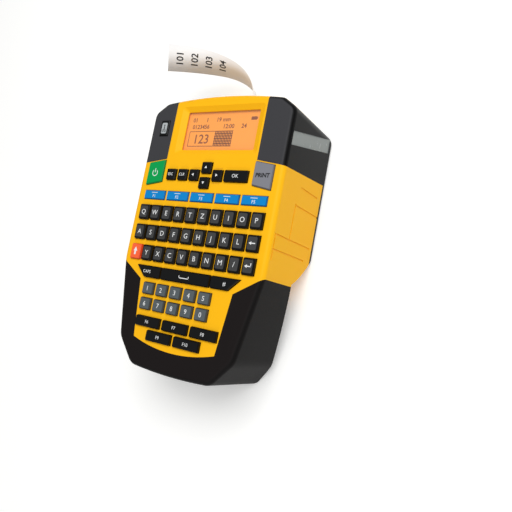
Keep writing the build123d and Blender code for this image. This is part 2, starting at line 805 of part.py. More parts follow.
def door(x_half, y0, y1, name):
    """Flush door in the back, hinged along its lower edge on two stub pins."""
    axis = y0 + HINGE_RADIUS
    with BuildPart() as panel:
        add(box_at(-x_half, x_half, axis, y1, 0, DOOR_THICK))
        with BuildSketch(Plane.YZ.offset(-x_half)):
            with Locations((axis, DOOR_HINGE_Z)):
                Circle(HINGE_RADIUS)
        extrude(amount=2 * x_half)
        with BuildSketch(Plane.YZ.offset(-x_half - 2)):
            with Locations((axis, DOOR_HINGE_Z)):
                Circle(PIN_RADIUS)
        extrude(amount=2 * x_half + 4)
        with BuildSketch(Plane.XY):
            with Locations((0, y1 - 5)):
                SlotOverall(16, 4)
        extrude(amount=0.8, mode=Mode.SUBTRACT)
    save(panel.part, name)


def door_opening(x_half, y0, y1):
    """Hole in the back round one door, with the bores its stub pins turn in."""
    axis = y0 + HINGE_RADIUS
    with BuildPart() as hole:
        add(box_at(-x_half - GAP, x_half + GAP, y0 - GAP, y1 + GAP, -1, BACK_PLATE + 1))
        with BuildSketch(Plane.YZ.offset(-x_half - 2.3)):
            with Locations((axis, DOOR_HINGE_Z)):
                Circle(PIN_RADIUS + PIN_GAP)
        extrude(amount=2 * x_half + 4.6)
    return hole.part


def rear_case():
    """Back plate with the two door openings and the battery tub."""
    tub_half = 1.5 * CELL_PITCH + GAP + TUB_WALL
    tub_y0 = CELL_Y - CELL_LENGTH / 2 - 2.4 - TUB_WALL
    tub_y1 = CELL_Y + CELL_LENGTH / 2 + 2.4 + TUB_WALL
    tub_top = CELL_Z + CELL_PITCH + CELL_RADIUS + GAP + TUB_WALL
    with BuildPart() as case:
        add(shell_half(0, BACK_PLATE))
        add(door_opening(BAY_HALF, BAY_Y0, BAY_Y1), mode=Mode.SUBTRACT)
        add(box_at(-tub_half, tub_half, tub_y0, tub_y1, BACK_PLATE - 1, tub_top))
        add(
            box_at(
                -tub_half + TUB_WALL,
                tub_half - TUB_WALL,
                tub_y0 + TUB_WALL,
                tub_y1 - TUB_WALL,
                BACK_PLATE - 2,
                tub_top - TUB_WALL,
            ),
            mode=Mode.SUBTRACT,
        )
        add(door_opening(BATTERY_DOOR_HALF, BATTERY_DOOR_Y0, BATTERY_DOOR_Y1), mode=Mode.SUBTRACT)
        for x, y in SCREWS:
            add(rod(x, y, -1, BACK_PLATE + 1, SCREW_RADIUS), mode=Mode.SUBTRACT)
            add(rod(x, y, -1, SCREW_HEAD_THICK + 0.4, SCREW_HEAD + 0.2), mode=Mode.SUBTRACT)
    save(case.part, "rear_case")


def case_screws():
    """Screws that hold the back plate to the front's bosses."""
    with BuildPart() as screws:
        for x, y in SCREWS:
            add(rod(x, y, 0.4, SCREW_HEAD_THICK + 0.4, SCREW_HEAD))
            add(rod(x, y, SCREW_HEAD_THICK, SCREW_LENGTH, SCREW_RADIUS - 0.05))
            add(box_at(x - 1.8, x + 1.8, y - 0.4, y + 0.4, 0, 1.2), mode=Mode.SUBTRACT)
            add(box_at(x - 0.4, x + 0.4, y - 1.8, y + 1.8, 0, 1.2), mode=Mode.SUBTRACT)
    save(screws.part, "case_screws")


def display():
    """Clear lens under the bezel and the panel behind it."""
    half_x = DISPLAY_WIDTH / 2 + MODULE_MARGIN
    half_y = DISPLAY_HEIGHT / 2 + MODULE_MARGIN - 1
    lens = box_at(
        DISPLAY_X - half_x,
        DISPLAY_X + half_x,
        DISPLAY_Y - half_y,
        DISPLAY_Y + half_y,
        UNDERSIDE - LENS_THICK,
        UNDERSIDE,
    )
    module = box_at(
        DISPLAY_X - half_x,
        DISPLAY_X + half_x,
        DISPLAY_Y - half_y,
        DISPLAY_Y + half_y,
        UNDERSIDE - LENS_THICK - MODULE_THICK,
        UNDERSIDE - LENS_THICK,
    )
    save(lens, "display_lens")
    save(module, "display_module")


def board_plan(margin):
    """Plan of the circuit board, narrower between the grip scoops."""
    with BuildSketch() as plan:
        with BuildLine():
            Polyline(
                (-BOARD_FOOT_HALF + margin, BOARD_FOOT_Y + margin),
                (BOARD_FOOT_HALF - margin, BOARD_FOOT_Y + margin),
                (BOARD_FOOT_HALF - margin, BOARD_WAIST_Y + 3 + margin),
                (BOARD_HALF - margin, BOARD_WAIST_Y + 3 + margin),
                (BOARD_HALF - margin, BOARD_TOP_Y - margin),
                (-BOARD_HALF + margin, BOARD_TOP_Y - margin),
                (-BOARD_HALF + margin, BOARD_WAIST_Y + 3 + margin),
                (-BOARD_FOOT_HALF + margin, BOARD_WAIST_Y + 3 + margin),
                close=True,
            )
        make_face()
    return plan.sketch


def keypad_and_board():
    """Rubber mat with one pad under every key, lying on the circuit board."""
    mat_foot = MAT_TOP - MAT_THICK - PAD_RISE
    with BuildPart() as mat:
        with BuildSketch(Plane.XY.offset(mat_foot)):
            add(board_plan(1.0))
        extrude(amount=MAT_THICK)
        for outlines, rise in key_table().values():
            for points in outlines:
                x = sum(point[0] for point in points) / 4
                y = sum(point[1] for point in points) / 4
                if abs(x) < BOARD_FOOT_HALF - 4 or y > BOARD_WAIST_Y + 8 and abs(x) < BOARD_HALF - 3:
                    add(
                        box_at(
                            x - PAD_SIDE / 2,
                            x + PAD_SIDE / 2,
                            y - PAD_SIDE / 2,
                            y + PAD_SIDE / 2,
                            mat_foot,
                            MAT_TOP,
                        )
                    )
    with BuildPart() as board:
        with BuildSketch(Plane.XY.offset(mat_foot - BOARD_THICK)):
            add(board_plan(0))
        extrude(amount=BOARD_THICK)
        add(box_at(-20, 4, -8, 16, mat_foot - BOARD_THICK - 1.4, mat_foot - BOARD_THICK))
        add(box_at(12, 26, 20, 34, mat_foot - BOARD_THICK - 1.2, mat_foot - BOARD_THICK))
    save(mat.part, "keypad_mat")
    save(board.part, "main_board")


def mechanism_frame():
    """Deck that carries the print head, motor, studs and cutter, with the anvil and lever ears on it."""
    ear_y = LEVER_THICK / 2 + GAP
    with BuildPart() as frame:
        add(box_at(-DECK_HALF, DECK_HALF, DECK_Y0, DECK_NECK_Y, DECK_UNDER, DECK_TOP))
        add(box_at(-DECK_NECK_HALF, DECK_NECK_HALF, DECK_NECK_Y, DECK_Y1, DECK_UNDER, DECK_TOP))
        for x, y in POSTS:
            reach = sorted((x / abs(x) * (DECK_HALF - 1), x * (1 + 1.2 / abs(x))))
            add(box_at(*reach, y - POST_RADIUS, y + POST_RADIUS, DECK_UNDER, DECK_TOP))
        for x, y in (IDLER_AT, TRANSFER_AT):
            add(rod(x, y, DECK_TOP, GEAR_TOP + 0.6, SHAFT_RADIUS))
            add(rod(x, y, DECK_TOP, GEAR_FOOT - 0.1, SHAFT_RADIUS + 1.2))
        for x, y, radius in ((*PLATEN_AT, SHAFT_RADIUS), (*TAKEUP_AT, SPINDLE_RADIUS)):
            add(rod(x, y, DECK_UNDER - 1, DECK_TOP + 1, radius + RUN_GAP), mode=Mode.SUBTRACT)
        add(rod(*MOTOR_AT, DECK_UNDER - 1, DECK_TOP + 1, 3.0), mode=Mode.SUBTRACT)
        slot = box_at(PIVOT_X - 5.5, PIVOT_X + 5.5, LEVER_Y - 2.2, LEVER_Y + 2.2, 0, DECK_TOP + 1)
        add(slot, mode=Mode.SUBTRACT)
        for y in (LEVER_Y - ear_y - 1.5, LEVER_Y + ear_y):
            add(box_at(PIVOT_X - 3.2, PIVOT_X + 3.2, y, y + 1.5, DECK_TOP, PIVOT_Z + 2.4))
        with BuildSketch(Plane.XZ.offset(-LEVER_Y - ear_y - 1.5)):
            with Locations((PIVOT_X, PIVOT_Z)):
                Circle(1.2)
        extrude(amount=2 * ear_y + 3)
        add(box_at(TAPE_X + 0.6, TAPE_X + 5, BLADE_Y + 0.8, BLADE_Y + 3.4, CASSETTE_Z0 + 1, DECK_UNDER))
    save(frame.part, "mechanism_frame")


def print_parts():
    """Print head, platen on its geared shaft, motor with its pinion and the train between them."""
    tape_low = TAPE_MID_Z - TAPE_WIDTH / 2
    tape_high = TAPE_MID_Z + TAPE_WIDTH / 2
    head_face = TAPE_X - TAPE_THICK / 2 - 0.15
    with BuildPart() as head:
        add(box_at(head_face - 1, head_face, PLATEN_Y - 2, PLATEN_Y + 2, tape_low - 1, tape_high + 1))
        add(
            box_at(
                head_face - HEAD_THICK,
                head_face - 0.8,
                PLATEN_Y - HEAD_WIDTH / 2,
                PLATEN_Y + HEAD_WIDTH / 2,
                tape_low - 2,
                DECK_UNDER,
            )
        )
    save(head.part, "print_head")
    with BuildPart() as roller:
        add(rod(*PLATEN_AT, tape_low - 1, tape_high + 1, PLATEN_RADIUS))
        add(rod(*PLATEN_AT, 0, DECK_TOP, SHAFT_RADIUS), mode=Mode.SUBTRACT)
    save(roller.part, "platen_roller")
    with BuildPart() as platen_gear:
        add(rod(*PLATEN_AT, tape_low - 3, GEAR_TOP + 0.6, SHAFT_RADIUS))
        add(gear(PLATEN_AT, PLATEN_TEETH, 0, 0))
        add(rod(*PLATEN_AT, tape_high + 1, DECK_UNDER - 0.2, SHAFT_RADIUS + 1.2))
    save(platen_gear.part, "platen_gear")
    with BuildPart() as motor:
        add(rod(*MOTOR_AT, DECK_UNDER - MOTOR_LENGTH, DECK_UNDER, MOTOR_RADIUS))
        add(rod(*MOTOR_AT, DECK_UNDER - 4, DECK_UNDER + 1, SHAFT_RADIUS + RUN_GAP), mode=Mode.SUBTRACT)
    save(motor.part, "drive_motor")
    with BuildPart() as pinion:
        add(gear(MOTOR_AT, MOTOR_TEETH, MOTOR_PHASE, 0))
        add(rod(*MOTOR_AT, DECK_UNDER - 3.5, GEAR_FOOT, SHAFT_RADIUS))
    save(pinion.part, "motor_pinion")
    save(gear(IDLER_AT, IDLER_TEETH, IDLER_PHASE, SHAFT_RADIUS + RUN_GAP), "idler_gear")
    save(gear(TRANSFER_AT, TRANSFER_TEETH, TRANSFER_PHASE, SHAFT_RADIUS + RUN_GAP), "transfer_gear")
    with BuildPart() as takeup:
        add(rod(*TAKEUP_AT, CASSETTE_Z0 + 3, GEAR_TOP + 0.6, SPINDLE_RADIUS))
        add(gear(TAKEUP_AT, TAKEUP_TEETH, TAKEUP_PHASE, 0))
    save(takeup.part, "takeup_spindle")


def cutter():
    """Blade on its carrier and the bell crank between it and the button."""
    foot = PIVOT_Z - LEVER_DROP
    with BuildPart() as lever:
        with BuildSketch(Plane.XZ.offset(-LEVER_Y - LEVER_THICK / 2)):
            with BuildLine():
                Polyline(
                    (PIVOT_X - LEVER_ARM - 2.2, PIVOT_Z + 2.0),
                    (PIVOT_X + 2.0, PIVOT_Z + 2.2),
                    (PIVOT_X + 2.6, PIVOT_Z - 1.0),
                    (PIVOT_X + 1.2, PIVOT_Z - 4.0),
                    (PIVOT_X + 1.2, foot),
                    (PIVOT_X - 1.2, foot),
                    (PIVOT_X - 2.4, PIVOT_Z - 2.0),
                    (PIVOT_X - LEVER_ARM - 2.2, PIVOT_Z + 0.2),
                    close=True,
                )
            make_face()
            with Locations((PIVOT_X, PIVOT_Z)):
                Circle(1.2 + RUN_GAP, mode=Mode.SUBTRACT)
        extrude(amount=LEVER_THICK)
    save(lever.part, "cutter_lever")
    carrier_x0 = PIVOT_X + 1.2 + GAP
    with BuildPart() as blade:
        add(
            box_at(
                carrier_x0,
                carrier_x0 + 5,
                LEVER_Y - 2,
                BLADE_Y + BLADE_THICK / 2,
                foot + 0.4,
                DECK_UNDER - GAP,
            )
        )
        add(
            box_at(
                carrier_x0,
                BLADE_TIP - 1,
                BLADE_Y - BLADE_THICK / 2,
                BLADE_Y + BLADE_THICK / 2,
                CASSETTE_Z0 + 1,
                DECK_UNDER - GAP,
            )
        )
        with BuildSketch(Plane.XY.offset(CASSETTE_Z0 + 1)):
            with BuildLine():
                Polyline(
                    (BLADE_TIP - 1, BLADE_Y - BLADE_THICK / 2),
                    (BLADE_TIP, BLADE_Y + BLADE_THICK / 2),
                    (BLADE_TIP - 1, BLADE_Y + BLADE_THICK / 2),
                    close=True,
                )
            make_face()
        extrude(amount=DECK_UNDER - GAP - CASSETTE_Z0 - 1)
    save(blade.part, "cutter_blade")


def cassette():
    """Tape cassette: tray, lid and the three spools inside it."""
    z1 = CASSETTE_Z0 + CASSETTE_DEPTH
    wall = CASSETTE_WALL
    spools = ((SPOOL_X, SPOOL_Y), (SUPPLY_X, SUPPLY_Y), TAKEUP_AT)
    with BuildPart() as tray:
        add(box_at(CASSETTE_X0, CASSETTE_X1, CASSETTE_Y0, CASSETTE_Y1, CASSETTE_Z0 + wall, z1))
        add(
            box_at(
                CASSETTE_X0 + wall,
                CASSETTE_X1 - wall,
                CASSETTE_Y0 + wall,
                CASSETTE_Y1 - wall,
                CASSETTE_Z0,
                z1 - wall,
            ),
            mode=Mode.SUBTRACT,
        )
        mouth = box_at(TAPE_X - 1, TAPE_X + 1, CASSETTE_Y1 - 3, CASSETTE_Y1 + 1, 0, z1 - wall)
        add(mouth, mode=Mode.SUBTRACT)
        add(rod(*TAKEUP_AT, CASSETTE_Z0, z1 + 1, SPINDLE_RADIUS + 1.2), mode=Mode.SUBTRACT)
        for x, y in spools[:2]:
            add(rod(x, y, z1 - 5, z1, SPINDLE_RADIUS))
        for x in (CASSETTE_X0 + 5, CASSETTE_X1 - 5):
            add(rod(x, CASSETTE_Y0 + 5, z1, DECK_UNDER, 1.6))
            add(rod(x, CASSETTE_Y1 - 5, z1, DECK_UNDER, 1.6))
    save(tray.part, "cassette_tray")
    with BuildPart() as lid:
        add(box_at(CASSETTE_X0, CASSETTE_X1, CASSETTE_Y0, CASSETTE_Y1, CASSETTE_Z0, CASSETTE_Z0 + wall))
        for x, y in spools[:2]:
            add(rod(x, y, CASSETTE_Z0, CASSETTE_Z0 + 5, SPINDLE_RADIUS))
        add(rod(*TAKEUP_AT, 0, CASSETTE_Z0 + 3, SPINDLE_RADIUS + 0.4), mode=Mode.SUBTRACT)
    save(lid.part, "cassette_lid")
    z_low = CASSETTE_Z0 + wall + GAP
    z_high = z1 - wall - GAP
    sizes = (SPOOL_RADIUS, SUPPLY_RADIUS, TAKEUP_RADIUS)
    names = ("tape_spool", "ribbon_supply_spool", "ribbon_takeup_spool")
    for name, at, radius in zip(names, spools, sizes):
        with BuildPart() as spool:
            add(rod(*at, z_low + 1.6, z_high - 1.6, radius))
            add(rod(*at, z_low, z_high, CORE_RADIUS))
            add(rod(*at, 0, BODY_DEPTH, SPINDLE_RADIUS + RUN_GAP), mode=Mode.SUBTRACT)
        save(spool.part, name)


def tape_leader():
    """End of the tape between the cassette's mouth and the cutter."""
    half = TAPE_WIDTH / 2
    save(
        box_at(
            TAPE_X - TAPE_THICK / 2,
            TAPE_X + TAPE_THICK / 2,
            CASSETTE_Y1 - 3,
            BLADE_Y - BLADE_THICK,
            TAPE_MID_Z - half,
            TAPE_MID_Z + half,
        ),
        "tape_leader",
    )


def rate_at(rates, share):
    """Value of a rate stated at equal steps along the label, between 0 and 1 of its free length."""
    place = share * (len(rates) - 1)
    low = min(int(place), len(rates) - 2)
    return rates[low] + (rates[low + 1] - rates[low]) * (place - low)


def label_frames():
    """Stations along the printed label: place, direction and width direction at each of them."""
    substeps = 16
    steps = substeps * (LABEL_SECTIONS - 1)
    step = LABEL_FREE / steps
    place = Vector(TAPE_X, HALF_LENGTH, TAPE_MID_Z)
    along = Vector(0, 1, 0)
    across = Vector(0, 0, 1)
    frames = [(Vector(TAPE_X, LABEL_START_Y, TAPE_MID_Z), along, across), (place, along, across)]
    for i in range(steps):
        share = (i + 0.5) / steps
        along = along.rotate(Axis((0, 0, 0), across), rate_at(LABEL_CURL, share) * step)
        across = across.rotate(Axis((0, 0, 0), along), rate_at(LABEL_TWIST, share) * step)
        place = place + along * step
        if (i + 1) % substeps == 0:
            frames.append((place, along, across))
    return frames


def printed_label():
    """Cut label that stands in the exit slot and curls over to the left."""
    with BuildPart() as label:
        for place, along, across in label_frames():
            with BuildSketch(Plane(origin=place, x_dir=across, z_dir=along)):
                Rectangle(TAPE_WIDTH, TAPE_THICK)
        loft(ruled=True)
    save(label.part, "printed_label")


def battery():
    """Six cells in two layers and the contact plates at their ends."""
    half = CELL_LENGTH / 2
    with BuildPart() as cells:
        for layer in range(2):
            for column in (-1, 0, 1):
                x = column * CELL_PITCH
                z = CELL_Z + layer * CELL_PITCH
                nub = -CELL_Y - half - NUB_LENGTH if (layer + column) % 2 else -CELL_Y + half
                with BuildSketch(Plane.XZ.offset(-CELL_Y - half)):
                    with Locations((x, z)):
                        Circle(CELL_RADIUS)
                extrude(amount=CELL_LENGTH)
                with BuildSketch(Plane.XZ.offset(nub)):
                    with Locations((x, z)):
                        Circle(NUB_RADIUS)
                extrude(amount=NUB_LENGTH)
    save(cells.part, "battery_cells")
    with BuildPart() as contacts:
        for y0 in (CELL_Y - half - 2.4, CELL_Y + half + 2.0):
            for column in (-1, 0, 1):
                x = column * CELL_PITCH
                add(box_at(x - 5, x + 5, y0, y0 + 0.4, CELL_Z - 5, CELL_Z + CELL_PITCH + 5))
    save(contacts.part, "battery_contacts")


front_case()
rear_case()
case_screws()
door(BAY_HALF, BAY_Y0, BAY_Y1, "cassette_door")
door(BATTERY_DOOR_HALF, BATTERY_DOOR_Y0, BATTERY_DOOR_Y1, "battery_door")
keys()
cut_button()
display()
keypad_and_board()
mechanism_frame()
print_parts()
cutter()
cassette()
tape_leader()
printed_label()
battery()
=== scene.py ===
"""Dressed scene of a handheld label maker: finishes, key legends, display image, label and studio.

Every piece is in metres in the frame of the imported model: the case lies on its back, +X is its
right side, +Y its label end and +Z the face with the keys.
"""

from __future__ import annotations

import logging
import math
from collections.abc import Sequence
from dataclasses import dataclass, field
from enum import Enum

import bmesh
import bpy
from mathutils import Matrix, Vector

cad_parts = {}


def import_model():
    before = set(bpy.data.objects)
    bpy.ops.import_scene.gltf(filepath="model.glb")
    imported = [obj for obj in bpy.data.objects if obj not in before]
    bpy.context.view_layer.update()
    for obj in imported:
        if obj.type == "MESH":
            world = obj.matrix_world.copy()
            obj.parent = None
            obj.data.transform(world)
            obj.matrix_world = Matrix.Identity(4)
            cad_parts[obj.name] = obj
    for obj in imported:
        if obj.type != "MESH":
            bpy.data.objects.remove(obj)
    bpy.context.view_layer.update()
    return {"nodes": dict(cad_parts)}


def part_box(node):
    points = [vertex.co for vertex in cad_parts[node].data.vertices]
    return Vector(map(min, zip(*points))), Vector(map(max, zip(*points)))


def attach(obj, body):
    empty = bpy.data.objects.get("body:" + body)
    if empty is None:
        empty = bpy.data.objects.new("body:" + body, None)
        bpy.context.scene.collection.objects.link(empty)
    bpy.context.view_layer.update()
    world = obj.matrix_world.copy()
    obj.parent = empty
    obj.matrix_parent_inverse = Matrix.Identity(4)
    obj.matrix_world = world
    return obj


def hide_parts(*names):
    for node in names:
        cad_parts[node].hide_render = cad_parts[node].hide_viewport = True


LOG = logging.getLogger("label_maker")
MM = 0.001
FULL_TURN = 360.0

Point = tuple[float, float, float]
Station = tuple[Vector, Vector, Vector]


def linear(hex_colour: str) -> tuple[float, float, float, float]:
    """Turn an sRGB hex value into linear light.

    Args:
        hex_colour: Six hex digits, red first.

    Returns:
        Linear red, green and blue, with an alpha of 1.
    """
    channels = [int(hex_colour[i : i + 2], 16) / 255 for i in (0, 2, 4)]
    light = [c / 12.92 if c <= 0.04045 else ((c + 0.055) / 1.055) ** 2.4 for c in channels]
    return (*light, 1.0)


def add_node(
    tree: bpy.types.NodeTree,
    kind: str,
    settings: dict[str, object] | None = None,
    links: dict[str, bpy.types.NodeSocket] | None = None,
) -> bpy.types.Node:
    """Add one node with its settings and the links into it.

    Args:
        tree: Node tree that takes the node.
        kind: Blender's name of the node type.
        settings: Values by input socket name, or by property name where no socket has it.
        links: Source sockets by input socket name.

    Returns:
        The new node.
    """
    node = tree.nodes.new(kind)
    for name, value in (settings or {}).items():
        if name in node.inputs:
            node.inputs[name].default_value = value
        else:
            setattr(node, name, value)
    for name, source in (links or {}).items():
        tree.links.new(source, node.inputs[name])
    return node


@dataclass(frozen=True)
class Finish:
    """One surface of the object: what it is made of and how that meets the eye.

    Attributes:
        name: Name of the material and of how it was made.
        colour: Main colour as sRGB hex.
        shade: Second colour that drifts through the first, as sRGB hex.
        roughness: Middle value of the surface roughness.
        grain_mm: Size of the moulded or ground texture, as coarse as it needs to show.
        relief: Strength of that texture in the surface.
        painted_top_light: Painted light: colour of faces that look straight up, as sRGB hex, where
            it differs; it is lighter than the rest, as light falls on the tops.
        metallic: 1 for bare metal.
        ior: Index of refraction.
        opacity: Below 1 for a clear piece.
        glow: Share of its own colour that the surface gives off.
    """

    name: str
    colour: str
    shade: str
    roughness: float
    grain_mm: float
    relief: float
    # Painted light on the tops: a lighter colour for faces that look up.
    painted_top_light: str = ""
    metallic: float = 0.0
    ior: float = 1.5
    opacity: float = 1.0
    glow: float = 0.0

    # Size of the slow drift between the two colours.
    DRIFT = 18 * MM
    # Upward shares of a face's normal where the painted light on its top begins and where it is
    # full.
    PAINTED_LIGHT_FROM = 0.86
    PAINTED_LIGHT_FULL = 0.98
    # How far the roughness swings with the grain, and the smoothest that it gets.
    ROUGHNESS_SWING = 0.07
    SMOOTHEST = 0.02
    # Depth of the grain at a relief of 1.
    GRAIN_DEPTH = 0.1 * MM

    def paint(
        self, tree: bpy.types.NodeTree, place: bpy.types.NodeSocket
    ) -> bpy.types.NodeSocket:
        """Mix the colours of the finish, with painted light on faces that look up.

        Args:
            tree: Node tree of the material.
            place: Socket that gives the place on the piece.

        Returns:
            Socket that gives the colour.
        """
        drift = add_node(
            tree,
            "ShaderNodeTexNoise",
            {"Scale": 1 / self.DRIFT, "Detail": 3.0, "Roughness": 0.6},
            {"Vector": place},
        )
        colour = add_node(
            tree,
            "ShaderNodeMix",
            {"data_type": "RGBA", "A": linear(self.colour), "B": linear(self.shade)},
            {"Factor": drift.outputs["Fac"]},
        ).outputs["Result"]
        if not self.painted_top_light:
            return colour
        # Painted light: faces that look up take the lighter top colour, in place of the light that
        # falls on them.
        normal = add_node(tree, "ShaderNodeNewGeometry").outputs["Normal"]
        upward = add_node(tree, "ShaderNodeSeparateXYZ", links={"Vector": normal}).outputs["Z"]
        level = add_node(
            tree,
            "ShaderNodeMapRange",
            {"From Min": self.PAINTED_LIGHT_FROM, "From Max": self.PAINTED_LIGHT_FULL},
            {"Value": upward},
        )
        return add_node(
            tree,
            "ShaderNodeMix",
            {"data_type": "RGBA", "B": linear(self.painted_top_light)},
            {"Factor": level.outputs["Result"], "A": colour},
        ).outputs["Result"]

    def material(self) -> bpy.types.Material:
        """Build the finish as a node material, the first time that it is asked for.

        Returns:
            The material.
        """
        known = bpy.data.materials.get(self.name)
        if known:
            return known
        material = bpy.data.materials.new(self.name)
        material.use_nodes = True
        tree = material.node_tree
        tree.nodes.clear()
        place = add_node(tree, "ShaderNodeTexCoord").outputs["Object"]
        colour = self.paint(tree, place)
        grain = add_node(
            tree,
            "ShaderNodeTexNoise",
            {"Scale": 1 / (self.grain_mm * MM), "Detail": 2.0, "Roughness": 0.55},
            {"Vector": place},
        )
        rough = add_node(
            tree,
            "ShaderNodeMapRange",
            {
                "To Min": max(self.SMOOTHEST, self.roughness - self.ROUGHNESS_SWING),
                "To Max": min(1.0, self.roughness + self.ROUGHNESS_SWING),
            },
            {"Value": grain.outputs["Fac"]},
        )
        bump = add_node(
            tree,
            "ShaderNodeBump",
            {"Strength": self.relief, "Distance": self.GRAIN_DEPTH},
            {"Height": grain.outputs["Fac"]},
        )
        shader = add_node(
            tree,
            "ShaderNodeBsdfPrincipled",
            {"Metallic": self.metallic, "IOR": self.ior, "Alpha": self.opacity},
            {
                "Base Color": colour,
                "Roughness": rough.outputs["Result"],
                "Normal": bump.outputs["Normal"],
            },
        )
        if self.glow:
            shader.inputs["Emission Strength"].default_value = self.glow
            tree.links.new(colour, shader.inputs["Emission Color"])
        add_node(tree, "ShaderNodeOutputMaterial", links={"Surface": shader.outputs["BSDF"]})
        return material


class Finishes(Enum):
    """Every finish on the object."""

    # Moulded ABS: an even satin. Its spark texture is near 0.1 mm and is drawn coarser to show.
    HOUSING = Finish("moulded_yellow_abs", "FFC018", "FFB913", 0.46, 0.7, 0.10, ior=1.2)
    BACK = Finish("moulded_black_abs", "151516", "121213", 0.55, 0.7, 0.14, ior=1.25)
    # Graphite ABS caps: their tops are painted grey, as painted light on faces that look up.
    SHOULDER = Finish(
        "moulded_graphite_abs", "0E0E0F", "0C0C0D", 0.38, 0.6, 0.10, painted_top_light="404043", ior=1.17
    )
    # Thermoplastic rubber: darker and duller, with no clear highlight; its tops carry a little
    # painted light.
    BUMPER = Finish(
        "moulded_soft_rubber", "131111", "0F0D0D", 0.56, 0.8, 0.16, painted_top_light="1B1717", ior=1.2
    )
    # Smoked polycarbonate: smoother than the cap round it, and an even grey.
    WINDOW = Finish("smoked_polycarbonate", "8C9290", "838987", 0.25, 3.0, 0.02, ior=1.35)
    # Silicone keys: satin; their tops are painted lighter than their flanks, as painted light on
    # the tops.
    KEY = Finish("black_silicone_key", "09090B", "080809", 0.3, 0.9, 0.04, painted_top_light="121314", ior=1.3)
    DIGIT = Finish("grey_silicone_key", "3B4143", "373D3F", 0.36, 0.9, 0.04, painted_top_light="555D61")
    HOT = Finish(
        "blue_silicone_key", "0067AB", "0061A0", 0.36, 0.9, 0.03, painted_top_light="0085CD", ior=1.35
    )
    POWER = Finish(
        "green_silicone_key", "079248", "058741", 0.36, 0.9, 0.03, painted_top_light="009E4E", ior=1.3
    )
    PRINT = Finish("pale_grey_silicone_key", "6A6B73", "64656D", 0.4, 0.9, 0.03, painted_top_light="7F8088")
    SHIFT = Finish("orange_silicone_key", "FD5528", "F14F26", 0.36, 0.9, 0.03, painted_top_light="FF6736")
    # Plates: a paler patch on the top of a black key is painted sheen, with the same satin, in
    # place of light on its top; the cut button's plate is a light grey lacquer.
    KEY_SHEEN = Finish("painted_sheen_key_top", "464647", "3D3E3E", 0.3, 0.9, 0.04, ior=1.3)
    CUT_PLATE = Finish("light_grey_lacquer", "B4BABC", "ABB1B3", 0.4, 0.9, 0.03)
    # Clear acrylic: only its gloss shows over the panel.
    LENS = Finish("clear_acrylic", "FFFFFF", "FAFAFA", 0.08, 4.0, 0.0, opacity=0.06)
    # Backlit panel: the orange is even because the light comes from behind.
    PANEL = Finish("backlit_liquid_crystal", "FFA438", "FB9F34", 0.5, 0.5, 0.0, glow=0.06)
    PIXEL = Finish("liquid_crystal_pixel", "90491D", "87431A", 0.5, 0.5, 0.0)
    # Pad print: a thin, flat and fairly dull ink.
    INK = Finish("white_pad_print", "F2F4F4", "ECEEEE", 0.5, 0.5, 0.0)
    GUIDE = Finish("amber_pad_print", "EDA312", "E49D0F", 0.5, 0.5, 0.0)
    DARK_INK = Finish("black_pad_print", "0A0A0B", "080809", 0.5, 0.5, 0.0)
    # Polyester tape: smooth, with a faint gloss.
    TAPE = Finish("laminated_polyester_tape", "FBFBFC", "F4F3F2", 0.42, 6.0, 0.02, ior=1.3)
    # Bare metals: grey mirrors, blurred more or less by plating, grinding or extrusion.
    STEEL = Finish("zinc_plated_steel", "A8A9AB", "9C9DA0", 0.34, 0.5, 0.06, metallic=1.0)
    BLADE = Finish("ground_tool_steel", "C4C6C8", "B6B8BA", 0.24, 0.3, 0.05, metallic=1.0)
    ALUMINIUM = Finish("extruded_aluminium", "BFC1C3", "B2B4B6", 0.4, 0.6, 0.08, metallic=1.0)
    # Solder mask: a glossy green varnish over the board.
    BOARD = Finish("green_solder_mask", "1D5A34", "184E2C", 0.32, 1.2, 0.04)
    # Inner mouldings: acetal is milky and slick, nylon, silicone and charcoal ABS are dull.
    ACETAL = Finish("moulded_white_acetal", "E4E2D8", "DCD9CE", 0.38, 0.9, 0.05)
    FRAME = Finish("moulded_grey_nylon", "6A6C70", "626468", 0.5, 0.7, 0.12)
    SILICONE = Finish("translucent_silicone_mat", "8A8E90", "84888A", 0.6, 0.8, 0.08)
    CASSETTE = Finish("moulded_charcoal_abs", "4A4B4E", "444548", 0.5, 0.7, 0.12)
    # Wound film: dark and shiny, and a little uneven from its layers.
    RIBBON = Finish("carbon_transfer_film", "18181A", "121214", 0.28, 0.4, 0.05)
    # Shrunk sleeve: smooth, printed in one grey.
    CELL = Finish("printed_cell_sleeve", "5A5D66", "50535C", 0.3, 1.5, 0.03)


